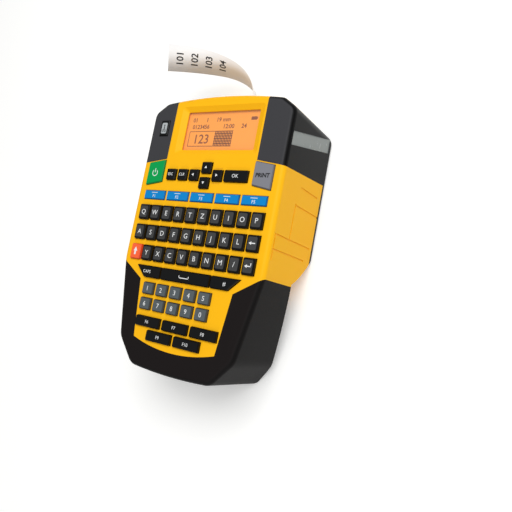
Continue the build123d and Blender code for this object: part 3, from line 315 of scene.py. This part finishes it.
class Dresser:
    """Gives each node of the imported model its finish."""

    NODES: dict[str, Finishes] = {
        "front_case": Finishes.HOUSING,
        "rear_case": Finishes.BACK,
        "cassette_door": Finishes.BACK,
        "battery_door": Finishes.BACK,
        "lower_bumper": Finishes.BUMPER,
        "left_shoulder_cap": Finishes.SHOULDER,
        "right_shoulder_cap": Finishes.SHOULDER,
        "cassette_window": Finishes.WINDOW,
        "case_screws": Finishes.STEEL,
        "display_lens": Finishes.LENS,
        "display_module": Finishes.PANEL,
        "power_button": Finishes.POWER,
        "print_button": Finishes.PRINT,
        "shift_key": Finishes.SHIFT,
        "digit_keys_upper_row": Finishes.DIGIT,
        "digit_keys_lower_row": Finishes.DIGIT,
        "keypad_mat": Finishes.SILICONE,
        "main_board": Finishes.BOARD,
        "mechanism_frame": Finishes.FRAME,
        "cutter_lever": Finishes.FRAME,
        "cutter_blade": Finishes.BLADE,
        "print_head": Finishes.ALUMINIUM,
        "platen_roller": Finishes.BUMPER,
        "drive_motor": Finishes.STEEL,
        "battery_contacts": Finishes.STEEL,
        "battery_cells": Finishes.CELL,
        "platen_gear": Finishes.ACETAL,
        "motor_pinion": Finishes.ACETAL,
        "idler_gear": Finishes.ACETAL,
        "transfer_gear": Finishes.ACETAL,
        "takeup_spindle": Finishes.ACETAL,
        "cassette_tray": Finishes.CASSETTE,
        "cassette_lid": Finishes.CASSETTE,
        "tape_spool": Finishes.TAPE,
        "tape_leader": Finishes.TAPE,
        "printed_label": Finishes.TAPE,
        "ribbon_supply_spool": Finishes.RIBBON,
        "ribbon_takeup_spool": Finishes.RIBBON,
    }

    def dress(self, nodes: dict[str, bpy.types.Object]) -> None:
        """Put the finish on every node; a key that isn't listed is blue or black.

        Args:
            nodes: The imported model's objects by node name.
        """
        for name, node in nodes.items():
            plain_key = Finishes.HOT if name.startswith("hot_key") else Finishes.KEY
            finish = self.NODES.get(name, plain_key).value
            node.data.materials.clear()
            node.data.materials.append(finish.material())
            LOG.info("%s is %s", name, finish.name)


@dataclass(frozen=True)
class Bar:
    """Straight stroke of a sign, in millimetres from the sign's middle.

    Attributes:
        x: Centre across the case.
        y: Centre along the case.
        width: Size along the stroke.
        height: Size across the stroke.
        turn: Angle of the stroke in degrees.
    """

    x: float
    y: float
    width: float
    height: float
    turn: float = 0.0


@dataclass(frozen=True)
class Head:
    """Solid arrow head of a sign, in millimetres from the sign's middle.

    Attributes:
        x: Centre across the case.
        y: Centre along the case.
        radius: Distance from the centre to each corner.
        turn: Angle that it points at, in degrees from +X.
    """

    x: float
    y: float
    radius: float
    turn: float


@dataclass(frozen=True)
class Ring:
    """Ring of a sign, whole or in part, in millimetres from the sign's middle.

    Attributes:
        x: Centre across the case.
        y: Centre along the case.
        radius: Radius at the middle of the line.
        line: Width of the line.
        start: Angle where the ring starts, in degrees.
        sweep: Angle that it covers, in degrees.
    """

    x: float
    y: float
    radius: float
    line: float
    start: float = 0.0
    sweep: float = FULL_TURN


class Sign(Enum):
    """Every sign that is drawn from strokes."""

    LEFT = (Head(0.0, 0.0, 1.1, 180.0),)
    RIGHT = (Head(0.0, 0.0, 1.1, 0.0),)
    UP = (Head(0.0, 0.0, 1.1, 90.0),)
    DOWN = (Head(0.0, 0.0, 1.1, 270.0),)
    BACKSPACE = (Head(-1.2, 0.0, 1.2, 180.0), Bar(0.6, 0.0, 3.0, 0.6))
    ENTER = (*BACKSPACE, Bar(1.9, 0.9, 0.5, 2.2))
    SHIFT = (Head(0.0, 1.0, 1.9, 90.0), Bar(0.0, -1.2, 1.4, 2.4))
    SPACE = (Bar(0.0, -0.9, 8.0, 0.5), Bar(-3.75, -0.3, 0.5, 1.6), Bar(3.75, -0.3, 0.5, 1.6))
    OVERLINE = (Bar(0.0, 1.5, 5.0, 0.35),)
    POWER = (Ring(0.0, -0.5, 2.1, 0.5, 130.0, 280.0), Bar(0.0, 1.2, 0.5, 2.8))
    SCISSORS = (
        Ring(-0.95, -1.9, 0.7, 0.35),
        Bar(-0.1, 0.6, 0.4, 4.0, -14.0),
        Ring(0.95, -1.9, 0.7, 0.35),
        Bar(0.1, 0.6, 0.4, 4.0, 14.0),
    )
    GUIDES = (Bar(-8.5, 0.0, 6.0, 0.3), Bar(8.5, 0.0, 6.0, 0.3))
    # The battery is placed by the end of its cap.
    BATTERY = (Bar(-2.6, 0.0, 4.2, 2.2), Bar(-0.2, 0.0, 0.6, 1.1))


@dataclass
class Print:
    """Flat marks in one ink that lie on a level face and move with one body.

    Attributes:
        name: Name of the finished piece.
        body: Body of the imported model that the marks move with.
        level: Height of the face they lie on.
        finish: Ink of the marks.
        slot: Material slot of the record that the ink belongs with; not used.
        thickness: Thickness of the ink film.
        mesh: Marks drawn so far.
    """

    name: str
    body: str
    level: float
    finish: Finishes
    slot: str
    thickness: float = 0.03 * MM
    mesh: bmesh.types.BMesh = field(default_factory=bmesh.new)

    # Facets of a ring's line, a plate's corner and a curve in a letter.
    RING_STEPS = 28
    CORNER_STEPS = 3
    GLYPH_STEPS = 3
    # Height of a capital as a share of the font's size.
    CAP_SHARE = 0.72
    # Points nearer to each other than this are one point.
    MERGE = 1e-7

    def bar(self, x: float, y: float, width: float, height: float, turn: float = 0.0) -> None:
        """Add a straight bar about its centre.

        Args:
            x: Centre across the case.
            y: Centre along the case.
            width: Size along the bar.
            height: Size across the bar.
            turn: Angle of the bar in degrees.
        """
        place = (
            Matrix.Translation((x, y, self.level + self.thickness / 2))
            @ Matrix.Rotation(math.radians(turn), 4, "Z")
            @ Matrix.Diagonal((width, height, self.thickness, 1.0))
        )
        bmesh.ops.create_cube(self.mesh, size=1.0, matrix=place)

    def triangle(self, x: float, y: float, radius: float, turn: float) -> None:
        """Add a solid arrow head.

        Args:
            x: Centre across the case.
            y: Centre along the case.
            radius: Distance from the centre to each corner.
            turn: Angle that it points at, in degrees from +X.
        """
        aim = Matrix.Rotation(math.radians(turn - 90), 4, "Z")
        place = Matrix.Translation((x, y, self.level)) @ aim
        before = set(self.mesh.faces)
        bmesh.ops.create_circle(self.mesh, cap_ends=True, segments=3, radius=radius, matrix=place)
        self.thicken(before)

    def plate(self, x: float, y: float, width: float, height: float, corner: float) -> None:
        """Add a plate with rounded corners about its centre.

        Args:
            x: Centre across the case.
            y: Centre along the case.
            width: Size across the case.
            height: Size along the case.
            corner: Radius of the corners.
        """
        size = Matrix.Diagonal((width, height, 1.0, 1.0))
        place = Matrix.Translation((x, y, self.level)) @ size
        before = set(self.mesh.faces)
        sheet = bmesh.ops.create_grid(
            self.mesh, x_segments=1, y_segments=1, size=0.5, matrix=place
        )
        bmesh.ops.bevel(
            self.mesh,
            geom=sheet["verts"],
            offset=corner,
            affect="VERTICES",
            segments=self.CORNER_STEPS,
            profile=0.5,
            material=-1,
        )
        self.thicken(before)

    def arc(
        self, x: float, y: float, radius: float, line: float, start: float, sweep: float
    ) -> None:
        """Add a ring or part of one.

        Args:
            x: Centre across the case.
            y: Centre along the case.
            radius: Radius at the middle of the line.
            line: Width of the line.
            start: Angle where the ring starts, in degrees.
            sweep: Angle that it covers, in degrees.
        """
        aim = Vector((math.cos(math.radians(start)), math.sin(math.radians(start)), 0))
        centre = Vector((x, y, self.level))
        low = self.mesh.verts.new(centre + aim * (radius - line / 2))
        high = self.mesh.verts.new(centre + aim * (radius + line / 2))
        edge = self.mesh.edges.new((low, high))
        before = set(self.mesh.faces)
        bmesh.ops.spin(
            self.mesh,
            geom=[low, high, edge],
            cent=centre,
            axis=(0, 0, 1),
            angle=math.radians(sweep),
            steps=self.RING_STEPS,
            use_merge=sweep >= FULL_TURN,
        )
        self.thicken(before)

    def thicken(self, before: set[bmesh.types.BMFace]) -> None:
        """Raise the newest flat faces to the thickness of the film.

        Args:
            before: Faces that were there before them.
        """
        faces = [face for face in self.mesh.faces if face not in before]
        lifted = bmesh.ops.extrude_face_region(self.mesh, geom=faces)["geom"]
        verts = [item for item in lifted if isinstance(item, bmesh.types.BMVert)]
        bmesh.ops.translate(self.mesh, vec=(0, 0, self.thickness), verts=verts)

    def sign(self, sign: Sign, x: float, y: float) -> None:
        """Add a sign stroke by stroke.

        Args:
            sign: Sign to draw.
            x: Its middle across the case.
            y: Its middle along the case.
        """
        for stroke in sign.value:
            at = (x + stroke.x * MM, y + stroke.y * MM)
            if isinstance(stroke, Bar):
                self.bar(*at, stroke.width * MM, stroke.height * MM, stroke.turn)
            elif isinstance(stroke, Head):
                self.triangle(*at, stroke.radius * MM, stroke.turn)
            else:
                self.arc(*at, stroke.radius * MM, stroke.line * MM, stroke.start, stroke.sweep)

    def text(
        self, words: str, x: float, y: float, cap: float, turn: float = 0.0, bold: float = 0.0
    ) -> None:
        """Add a plain word, letter or number about its centre.

        Args:
            words: Characters to print.
            x: Centre across the case.
            y: Centre along the case.
            cap: Height of a capital.
            turn: Angle of the line of writing in degrees.
            bold: Extra width on each side of every stroke.
        """
        curve = bpy.data.curves.new("glyphs", "FONT")
        curve.body = words
        curve.align_x = "CENTER"
        curve.size = cap / self.CAP_SHARE
        curve.extrude = self.thickness / 2
        curve.offset = bold
        curve.resolution_u = self.GLYPH_STEPS
        holder = bpy.data.objects.new("glyphs", curve)
        glyphs = bpy.data.meshes.new_from_object(holder)
        bpy.data.objects.remove(holder)
        bpy.data.curves.remove(curve)
        place = (
            Matrix.Translation((x, y, self.level + self.thickness / 2))
            @ Matrix.Rotation(math.radians(turn), 4, "Z")
            @ Matrix.Translation((0, -cap / 2, 0))
        )
        glyphs.transform(place)
        self.mesh.from_mesh(glyphs)
        bpy.data.meshes.remove(glyphs)

    def piece(self) -> None:
        """Make the marks one object that moves with its body."""
        bmesh.ops.remove_doubles(self.mesh, verts=self.mesh.verts, dist=self.MERGE)
        bmesh.ops.recalc_face_normals(self.mesh, faces=self.mesh.faces)
        mesh = bpy.data.meshes.new(self.name)
        self.mesh.to_mesh(mesh)
        self.mesh.free()
        mesh.materials.append(self.finish.value.material())
        marks = bpy.data.objects.new(self.name, mesh)
        bpy.context.scene.collection.objects.link(marks)
        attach(marks, self.body)
        LOG.info("%s has %d faces", self.name, len(mesh.polygons))


@dataclass
class Keypad:
    """Legends of the keys, and the plates under some of them: painted sheen on the letter keys and
    lacquer on the cut button.

    Attributes:
        letter_cell: Width of a letter key with its flange.
        digit_cell: Width of a digit key with its flange.
        function_cell: Width of a function key with its flange.
        letter_cap: Height of the letters.
        digit_cap: Height of the digits.
        small_cap: Height of the numbers on the hot keys and function keys.
        hot_drop: Space from a hot key's middle down to the middle of its number.
        print_cap: Height of the word on the print button.
        print_bold: Extra width of that word's strokes.
        letter_sheen: Width and height of the painted sheen on a letter key.
        cut_plate: Width and height of the plate on the cut button.
        plate_corner: Radius of a plate's corners.
        plate_film: Thickness of a plate.
        lift: Space between a face and the print on it.
    """

    letter_cell: float = 9.4 * MM
    digit_cell: float = 10.0 * MM
    function_cell: float = 21.2 * MM
    letter_cap: float = 3.3 * MM
    digit_cap: float = 3.1 * MM
    small_cap: float = 2.1 * MM
    hot_drop: float = 0.8 * MM
    print_cap: float = 2.6 * MM
    print_bold: float = 0.12 * MM
    letter_sheen: tuple[float, float] = (6.3 * MM, 7.8 * MM)
    cut_plate: tuple[float, float] = (4.6 * MM, 7.6 * MM)
    plate_corner: float = 0.9 * MM
    plate_film: float = 0.025 * MM
    lift: float = 0.01 * MM

    # Material slots of the record by the first word of a key's name; the rest are black.
    SLOTS = {
        "digit": "key_grey",
        "print": "key_grey",
        "cut": "key_grey",
        "power": "key_green",
        "hot": "key_blue",
        "shift": "key_orange",
    }
    LETTER_ROWS = {
        "letter_keys_top_row": "QWERTZUIOP",
        "letter_keys_middle_row": "ASDFGHJKL<",
        "letter_keys_bottom_row": "YXCVBNM/>",
    }
    # Characters of those rows that stand for a sign.
    ROW_SIGNS = {"<": Sign.BACKSPACE, ">": Sign.ENTER}
    DIGIT_ROWS = {"digit_keys_upper_row": "12345", "digit_keys_lower_row": "67890"}
    FUNCTION_ROWS = {
        "function_keys_upper_row": ("F6", "F7", "F8"),
        "function_keys_lower_row": ("F9", "F10"),
    }
    HOT_KEYS = {
        "hot_key_1": "F1",
        "hot_key_2": "F2",
        "hot_key_3": "F3",
        "hot_key_4": "F4",
        "hot_key_5": "F5",
    }
    ARROWS = {
        "arrow_left_key": Sign.LEFT,
        "arrow_right_key": Sign.RIGHT,
        "arrow_up_key": Sign.UP,
        "arrow_down_key": Sign.DOWN,
    }
    # Legends of single keys, with the height of a capital in millimetres.
    WORDS = {
        "escape_key": ("ESC", 1.9),
        "clear_key": ("CLR", 1.9),
        "ok_key": ("OK", 2.3),
        "caps_key": ("CAPS", 2.0),
        "symbol_key": ("#", 2.6),
    }

    def slot(self, node: str) -> str:
        """Material slot that goes with the print on a key or row."""
        return self.SLOTS.get(node.split("_")[0], "key_black")

    def spot(self, node: str) -> Point:
        """Middle of a key's top.

        Args:
            node: Name of the key or row.

        Returns:
            Its place across and along the case, and the height of the print on it.
        """
        low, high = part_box(node)
        return (low[0] + high[0]) / 2, (low[1] + high[1]) / 2, high[2] + self.lift

    def columns(self, node: str, count: int, cell: float) -> list[float]:
        """Places across the case of the keys in a row.

        Args:
            node: Name of the row.
            count: Keys in it.
            cell: Width of one key with its flange.

        Returns:
            The middle of each key, from the left.
        """
        low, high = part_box(node)
        step = (high[0] - low[0] - cell) / (count - 1)
        return [low[0] + cell / 2 + i * step for i in range(count)]

    def start(self, node: str, finish: Finishes = Finishes.INK) -> tuple[Print, float, float]:
        """Begin the print of one key or row.

        Args:
            node: Name of the key or row.
            finish: Ink of the print.

        Returns:
            The empty print, and the middle of the top across and along the case.
        """
        x, y, level = self.spot(node)
        return Print(f"{node}_legend", node, level, finish, self.slot(node)), x, y

    def plates(self, node: str, finish: Finishes) -> Print:
        """Begin the plates under the print of one key or row, a little sunk into its top.

        Args:
            node: Name of the key or row.
            finish: Lacquer of the plates.

        Returns:
            The empty plates.
        """
        level = self.spot(node)[2] - 2 * self.lift
        return Print(f"{node}_plate", node, level, finish, self.slot(node), self.plate_film)

    def row(self, node: str, legends: Sequence[str], cell: float, cap: float) -> None:
        """Print one row of keys.

        Args:
            node: Name of the row.
            legends: What stands on each key, from the left.
            cell: Width of one key with its flange.
            cap: Height of a capital.
        """
        ink, _, y = self.start(node)
        for x, legend in zip(self.columns(node, len(legends), cell), legends):
            if legend in self.ROW_SIGNS:
                ink.sign(self.ROW_SIGNS[legend], x, y)
            else:
                ink.text(legend, x, y, cap)
        ink.piece()

    def letter_sheens(self, node: str, count: int) -> None:
        """Paint a paler patch on the top of each key in one row of letters, as painted sheen.

        Args:
            node: Name of the row.
            count: Keys in it.
        """
        # Painted sheen: paler patches on the key tops in place of light on their satin.
        tops = self.plates(node, Finishes.KEY_SHEEN)
        y = self.spot(node)[1]
        for x in self.columns(node, count, self.letter_cell):
            tops.plate(x, y, *self.letter_sheen, self.plate_corner)
        tops.piece()

    def hot_key(self, node: str, legend: str) -> None:
        """Print one hot key: its number and the line over it.

        Args:
            node: Name of the key.
            legend: What stands on it.
        """
        ink, x, y = self.start(node)
        ink.text(legend, x, y - self.hot_drop, self.small_cap)
        ink.sign(Sign.OVERLINE, x, y)
        ink.piece()

    def word_key(self, node: str, legend: str, cap: float) -> None:
        """Print a word on one key.

        Args:
            node: Name of the key.
            legend: What stands on it.
            cap: Height of a capital.
        """
        ink, x, y = self.start(node)
        ink.text(legend, x, y, cap)
        ink.piece()

    def sign_key(self, node: str, sign: Sign) -> None:
        """Print a sign on one key.

        Args:
            node: Name of the key.
            sign: Sign that stands on it.
        """
        ink, x, y = self.start(node)
        ink.sign(sign, x, y)
        ink.piece()

    def guides(self) -> None:
        """Print the fine lines on the case beside the up and down arrows."""
        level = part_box("front_case")[1][2] + self.lift
        ink = Print("cursor_guides", "case", level, Finishes.GUIDE, "yellow_housing")
        for node in ("arrow_up_key", "arrow_down_key"):
            x, y, _ = self.spot(node)
            ink.sign(Sign.GUIDES, x, y)
        ink.piece()

    def print_button(self) -> None:
        """Print the print button in dark ink."""
        ink, x, y = self.start("print_button", Finishes.DARK_INK)
        ink.text("PRINT", x, y, self.print_cap, bold=self.print_bold)
        ink.piece()

    def cut_button(self) -> None:
        """Lay the cut button's plate and print it in dark ink."""
        ink, x, y = self.start("cut_button", Finishes.DARK_INK)
        plate = self.plates("cut_button", Finishes.CUT_PLATE)
        plate.plate(x, y, *self.cut_plate, self.plate_corner)
        plate.piece()
        ink.sign(Sign.SCISSORS, x, y)
        ink.piece()

    def build(self) -> None:
        """Print every legend."""
        for node, legends in self.LETTER_ROWS.items():
            self.letter_sheens(node, len(legends))
            self.row(node, legends, self.letter_cell, self.letter_cap)
        for node, legends in self.DIGIT_ROWS.items():
            self.row(node, legends, self.digit_cell, self.digit_cap)
        for node, legend in self.HOT_KEYS.items():
            self.hot_key(node, legend)
        for node, legends in self.FUNCTION_ROWS.items():
            self.row(node, legends, self.function_cell, self.small_cap)
        for node, sign in self.ARROWS.items():
            self.sign_key(node, sign)
        for node, (legend, cap) in self.WORDS.items():
            self.word_key(node, legend, cap * MM)
        self.sign_key("space_bar", Sign.SPACE)
        self.sign_key("shift_key", Sign.SHIFT)
        self.guides()
        self.sign_key("power_button", Sign.POWER)
        self.print_button()
        self.cut_button()


@dataclass
class Readout:
    """Image on the display: plain numbers, a boxed number, a hatched bar and a battery sign.

    Attributes:
        body: Body that the display belongs to.
        rim: Width of the panel's edge that the case hides.
        margin: Clear space between the lens's edge and the image.
        row_cap: Height of the small numbers.
        big_cap: Height of the boxed number.
        bold: Extra width of every stroke.
        line: Width of the box's lines.
        box_width: Width of the boxed number.
        box_height: Height of the box and of the hatched bar.
        hatch_width: Width of the hatched bar beside it.
        hatch_strokes: Upright strokes of the hatched bar.
        hatch_share: Share of their pitch that the strokes fill.
        hatch_rules: Lines that cross those strokes.
        lift: Space between the panel and the image.
    """

    body: str = "case"
    rim: float = 3.0 * MM
    margin: float = 2.4 * MM
    row_cap: float = 2.9 * MM
    big_cap: float = 6.4 * MM
    bold: float = 0.08 * MM
    line: float = 0.45 * MM
    box_width: float = 21.0 * MM
    box_height: float = 10.2 * MM
    hatch_width: float = 14.4 * MM
    hatch_strokes: int = 12
    hatch_share: float = 0.6
    hatch_rules: int = 5
    lift: float = 0.02 * MM

    # Words of the two rows, with the middle of each in millimetres from the image's left edge.
    TOP_ROW = (("01", 3.0), ("1", 13.0), ("19 mm", 26.0))
    MIDDLE_ROW = (("0123456", 8.5), ("12:00", 31.0), ("24", 43.0))
    BOXED = "123"

    def hatch(self, image: Print, left: float, foot: float) -> None:
        """Draw the hatched bar.

        Args:
            image: Image that takes it.
            left: Its left edge.
            foot: Its lower edge.
        """
        pitch = self.hatch_width / self.hatch_strokes
        middle = foot + self.box_height / 2
        for i in range(self.hatch_strokes):
            x = left + pitch * (i + 0.5)
            image.bar(x, middle, self.hatch_share * pitch, self.box_height)
        for i in range(1, self.hatch_rules + 1):
            y = foot + self.box_height * i / (self.hatch_rules + 1)
            image.bar(left + self.hatch_width / 2, y, self.hatch_width, self.line)

    def build(self) -> None:
        """Draw the image on the panel, just inside the lens."""
        low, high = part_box("display_module")
        left = low[0] + self.rim + self.margin
        right = high[0] - self.rim - self.margin
        top = high[1] - self.rim - self.margin - self.row_cap / 2
        foot = low[1] + self.rim + self.margin
        roof = foot + self.box_height
        between = (roof + top - self.row_cap / 2) / 2
        level = high[2] + self.lift
        image = Print("display_image", self.body, level, Finishes.PIXEL, "display_glass")
        for y, entries in ((top, self.TOP_ROW), (between, self.MIDDLE_ROW)):
            for words, x in entries:
                image.text(words, left + x * MM, y, self.row_cap, bold=self.bold)
        image.sign(Sign.BATTERY, right, top)
        box_middle = (roof + foot) / 2
        frame_width = self.box_width + self.hatch_width
        for y in (roof, foot):
            image.bar(left + frame_width / 2, y, frame_width, self.line)
        image.bar(left, box_middle, self.line, self.box_height)
        image.text(self.BOXED, left + self.box_width / 2, box_middle, self.big_cap, bold=self.bold)
        self.hatch(image, left + self.box_width, foot)
        image.piece()


@dataclass
class CurledLabel:
    """Printed tape that leaves the slot and curls over to the left.

    Attributes:
        start: Middle of the hidden end, inside the slot.
        slot_end: Place along the case where the tape leaves the slot.
        free: Length of tape that stands free.
        curl: Bending in degrees per millimetre, at even steps along the free length.
        twist: Turn about the tape's own line in degrees per millimetre, at the same steps.
        width: Width of the tape.
        thickness: Thickness of the tape.
        steps: Facets along the free length.
        print_cap: Height of the numbers.
        print_bold: Extra width of their strokes.
        print_first: Space from the free end to the middle of the first number.
        print_pitch: Space between the numbers.
        print_count: How many numbers there are.
        print_lift: Space between the tape and the print.
    """

    start: Point = (1.0 * MM, 82.0 * MM, 18.5 * MM)
    slot_end: float = 91.5 * MM
    free: float = 95.2 * MM
    curl: tuple[float, ...] = (0.16, 2.27, 1.69, 0.77, 0.77, 0.76)
    twist: tuple[float, ...] = (1.19, 0.60, 0.75, 1.02, 0.76, 0.49)
    width: float = 19.0 * MM
    thickness: float = 0.22 * MM
    steps: int = 160
    print_cap: float = 5.0 * MM
    print_bold: float = 0.12 * MM
    print_first: float = 8.3 * MM
    print_pitch: float = 10.65 * MM
    print_count: int = 4
    print_lift: float = 0.02 * MM

    def rate(self, rates: tuple[float, ...], share: float) -> float:
        """Read a rate part of the way along the free length.

        Args:
            rates: The rate at even steps.
            share: Share of the free length.

        Returns:
            The rate there, in degrees per millimetre.
        """
        place = share * (len(rates) - 1)
        low = min(int(place), len(rates) - 2)
        return rates[low] + (rates[low + 1] - rates[low]) * (place - low)

    def stations(self) -> list[Station]:
        """Follow the tape from the slot to its free end.

        Returns:
            Place, direction and width direction at the hidden end and at every step.
        """
        step = self.free / self.steps
        place = Vector((self.start[0], self.slot_end, self.start[2]))
        along = Vector((0, 1, 0))
        across = Vector((0, 0, 1))
        run = [
            (Vector(self.start), along.copy(), across.copy()),
            (place.copy(), along.copy(), across.copy()),
        ]
        for i in range(self.steps):
            share = (i + 0.5) / self.steps
            turn = math.radians(self.rate(self.curl, share) * step / MM)
            lean = math.radians(self.rate(self.twist, share) * step / MM)
            along = Matrix.Rotation(turn, 3, across) @ along
            across = Matrix.Rotation(lean, 3, along) @ across
            place = place + along * step
            run.append((place.copy(), along.copy(), across.copy()))
        return run

    def strip(self, run: list[Station]) -> bpy.types.Object:
        """Draw one edge of the tape along its stations and give it thickness.

        Args:
            run: Stations of the tape.

        Returns:
            The finished strip.
        """
        shape = bmesh.new()
        place, _, across = run[0]
        ends = [shape.verts.new(place + across * side * self.width / 2) for side in (-1, 1)]
        edge = shape.edges.new(ends)
        for place, _, across in run[1:]:
            moved = bmesh.ops.extrude_edge_only(shape, edges=[edge])["geom"]
            edge = next(item for item in moved if isinstance(item, bmesh.types.BMEdge))
            fresh = [item for item in moved if isinstance(item, bmesh.types.BMVert)]
            for vert, side in zip(fresh, (-1, 1)):
                vert.co = place + across * side * self.width / 2
        bmesh.ops.recalc_face_normals(shape, faces=shape.faces)
        mesh = bpy.data.meshes.new("curled_label")
        shape.to_mesh(mesh)
        shape.free()
        mesh.shade_smooth()
        mesh.materials.append(Finishes.TAPE.value.material())
        tape = bpy.data.objects.new("curled_label", mesh)
        bpy.context.scene.collection.objects.link(tape)
        wall = tape.modifiers.new("film", "SOLIDIFY")
        wall.thickness = self.thickness
        wall.offset = 0.0
        LOG.info("%s has %d faces before its film", tape.name, len(mesh.polygons))
        return tape

    def numbers(self, run: list[Station]) -> None:
        """Print plain numbers across the tape, near its free end, and wrap them onto it.

        Args:
            run: Stations of the tape.
        """
        ink = Print("label_print", "printed_label", 0.0, Finishes.DARK_INK, "label_tape")
        for i in range(self.print_count):
            x = self.print_first + i * self.print_pitch
            ink.text(f"10{i + 1}", x, 0.0, self.print_cap, turn=90, bold=self.print_bold)
        step = self.free / self.steps
        # Just short of the last step, so that there is always a station after it.
        last = self.steps - 1e-6
        for vert in ink.mesh.verts:
            share = min(max((self.free - vert.co.x) / step, 0.0), last)
            low = int(share)
            part = share - low
            here, there = run[1 + low], run[2 + low]
            place = here[0].lerp(there[0], part)
            along = here[1].lerp(there[1], part).normalized()
            across = here[2].lerp(there[2], part).normalized()
            face = across.cross(along)
            lift = self.thickness / 2 + self.print_lift + vert.co.z
            vert.co = place + across * vert.co.y + face * lift
        ink.piece()

    def build(self) -> None:
        """Make the label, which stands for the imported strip, and its print."""
        run = self.stations()
        tape = self.strip(run)
        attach(tape, "printed_label")
        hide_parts("printed_label")
        self.numbers(run)


@dataclass(frozen=True)
class Lamp:
    """Soft square lamp.

    Attributes:
        name: Name of the lamp.
        at: Its place.
        size: Side of its face.
        watts: Its power.
    """

    name: str
    at: Point
    size: float
    watts: float


@dataclass
class Studio:
    """Floor, soft light and the camera at the photograph's viewing angle.

    Attributes:
        lens: Focal length in millimetres.
        sensor: Width of the camera's sensor in millimetres.
        eye: Place of the camera.
        right: The camera's direction to the right.
        up: The camera's direction upwards.
        back: The camera's direction away from the object.
        near: Nearest distance that the camera shows.
        floor_half: Half the side of the floor.
        floor_drop: Space between the case and the floor.
        floor_colour: Colour of the floor as sRGB hex.
        floor_roughness: Roughness of the floor.
        floor_glow: Glow of the floor that only the eye, gloss and glass see.
        lamps: Lamps round the object.
        target: Point that the lamps face.
        sky: Strength of the white light from all round.
    """

    lens: float = 36.5625
    sensor: float = 36.0
    eye: Point = (206.52 * MM, -40.54 * MM, 313.33 * MM)
    right: Point = (0.84457534, 0.18545646, -0.50229315)
    up: Point = (-0.10647529, 0.97753651, 0.18189388)
    back: Point = (0.52474328, -0.10014128, 0.84534976)
    near: float = 10 * MM
    floor_half: float = 3.0
    floor_drop: float = 0.05 * MM
    floor_colour: str = "F4F4F2"
    floor_roughness: float = 0.9
    floor_glow: float = 0.25
    lamps: tuple[Lamp, ...] = (
        Lamp("key_lamp", (0.4, 0.5, 1.1), 0.9, 12.7),
        Lamp("fill_lamp", (0.1, -1.1, 0.9), 1.0, 4.5),
    )
    target: Point = (0.0, 0.0, 0.03)
    sky: float = 0.27

    def camera(self) -> None:
        """Set the camera where the photograph was taken from."""
        data = bpy.data.cameras.new("view")
        data.lens = self.lens
        data.sensor_width = self.sensor
        data.clip_start = self.near
        holder = bpy.data.objects.new("view", data)
        turn = Matrix((self.right, self.up, self.back)).transposed().to_4x4()
        holder.matrix_world = Matrix.Translation(self.eye) @ turn
        bpy.context.scene.collection.objects.link(holder)
        bpy.context.scene.camera = holder

    def floor_material(self) -> bpy.types.Material:
        """Make the floor's plain pale paint.

        Returns:
            The material.
        """
        material = bpy.data.materials.new("pale_floor")
        material.use_nodes = True
        tree = material.node_tree
        shader = tree.nodes["Principled BSDF"]
        shader.inputs["Base Color"].default_value = linear(self.floor_colour)
        shader.inputs["Roughness"].default_value = self.floor_roughness
        # A little glow that only the eye, gloss and glass see makes the floor white.
        # It lights nothing.
        rays = add_node(tree, "ShaderNodeLightPath").outputs
        seen = rays["Is Camera Ray"]
        for kind in ("Is Glossy Ray", "Is Transmission Ray"):
            either = add_node(tree, "ShaderNodeMix", {"B": 1.0}, {"Factor": rays[kind], "A": seen})
            seen = either.outputs["Result"]
        shader.inputs["Emission Color"].default_value = (*[self.floor_glow] * 3, 1.0)
        tree.links.new(seen, shader.inputs["Emission Strength"])
        return material

    def floor(self) -> None:
        """Lay a plain pale floor under the case."""
        shape = bmesh.new()
        bmesh.ops.create_grid(shape, x_segments=1, y_segments=1, size=self.floor_half)
        mesh = bpy.data.meshes.new("floor")
        shape.to_mesh(mesh)
        shape.free()
        mesh.materials.append(self.floor_material())
        ground = bpy.data.objects.new("floor", mesh)
        ground.location.z = -self.floor_drop
        bpy.context.scene.collection.objects.link(ground)

    def hang(self, lamp: Lamp) -> None:
        """Hang one lamp so that it faces the case.

        Args:
            lamp: Lamp to hang.
        """
        data = bpy.data.lights.new(lamp.name, "AREA")
        data.size = lamp.size
        data.energy = lamp.watts
        holder = bpy.data.objects.new(lamp.name, data)
        holder.location = lamp.at
        aim = Vector(self.target) - Vector(lamp.at)
        holder.rotation_euler = aim.to_track_quat("-Z", "Y").to_euler()
        bpy.context.scene.collection.objects.link(holder)

    def build(self) -> None:
        """Set up the whole studio."""
        self.camera()
        self.floor()
        for lamp in self.lamps:
            self.hang(lamp)
        world = bpy.data.worlds.new("studio")
        world.use_nodes = True
        light = world.node_tree.nodes["Background"]
        light.inputs["Color"].default_value = (1.0, 1.0, 1.0, 1.0)
        light.inputs["Strength"].default_value = self.sky
        bpy.context.scene.world = world
        bpy.context.scene.view_settings.view_transform = "Standard"


def main() -> None:
    """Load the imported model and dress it."""
    logging.basicConfig(level=logging.INFO, format="%(name)s: %(message)s")
    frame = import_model()
    Dresser().dress(frame["nodes"])
    Keypad().build()
    Readout().build()
    CurledLabel().build()
    Studio().build()


if __name__ == "__main__":
    main()
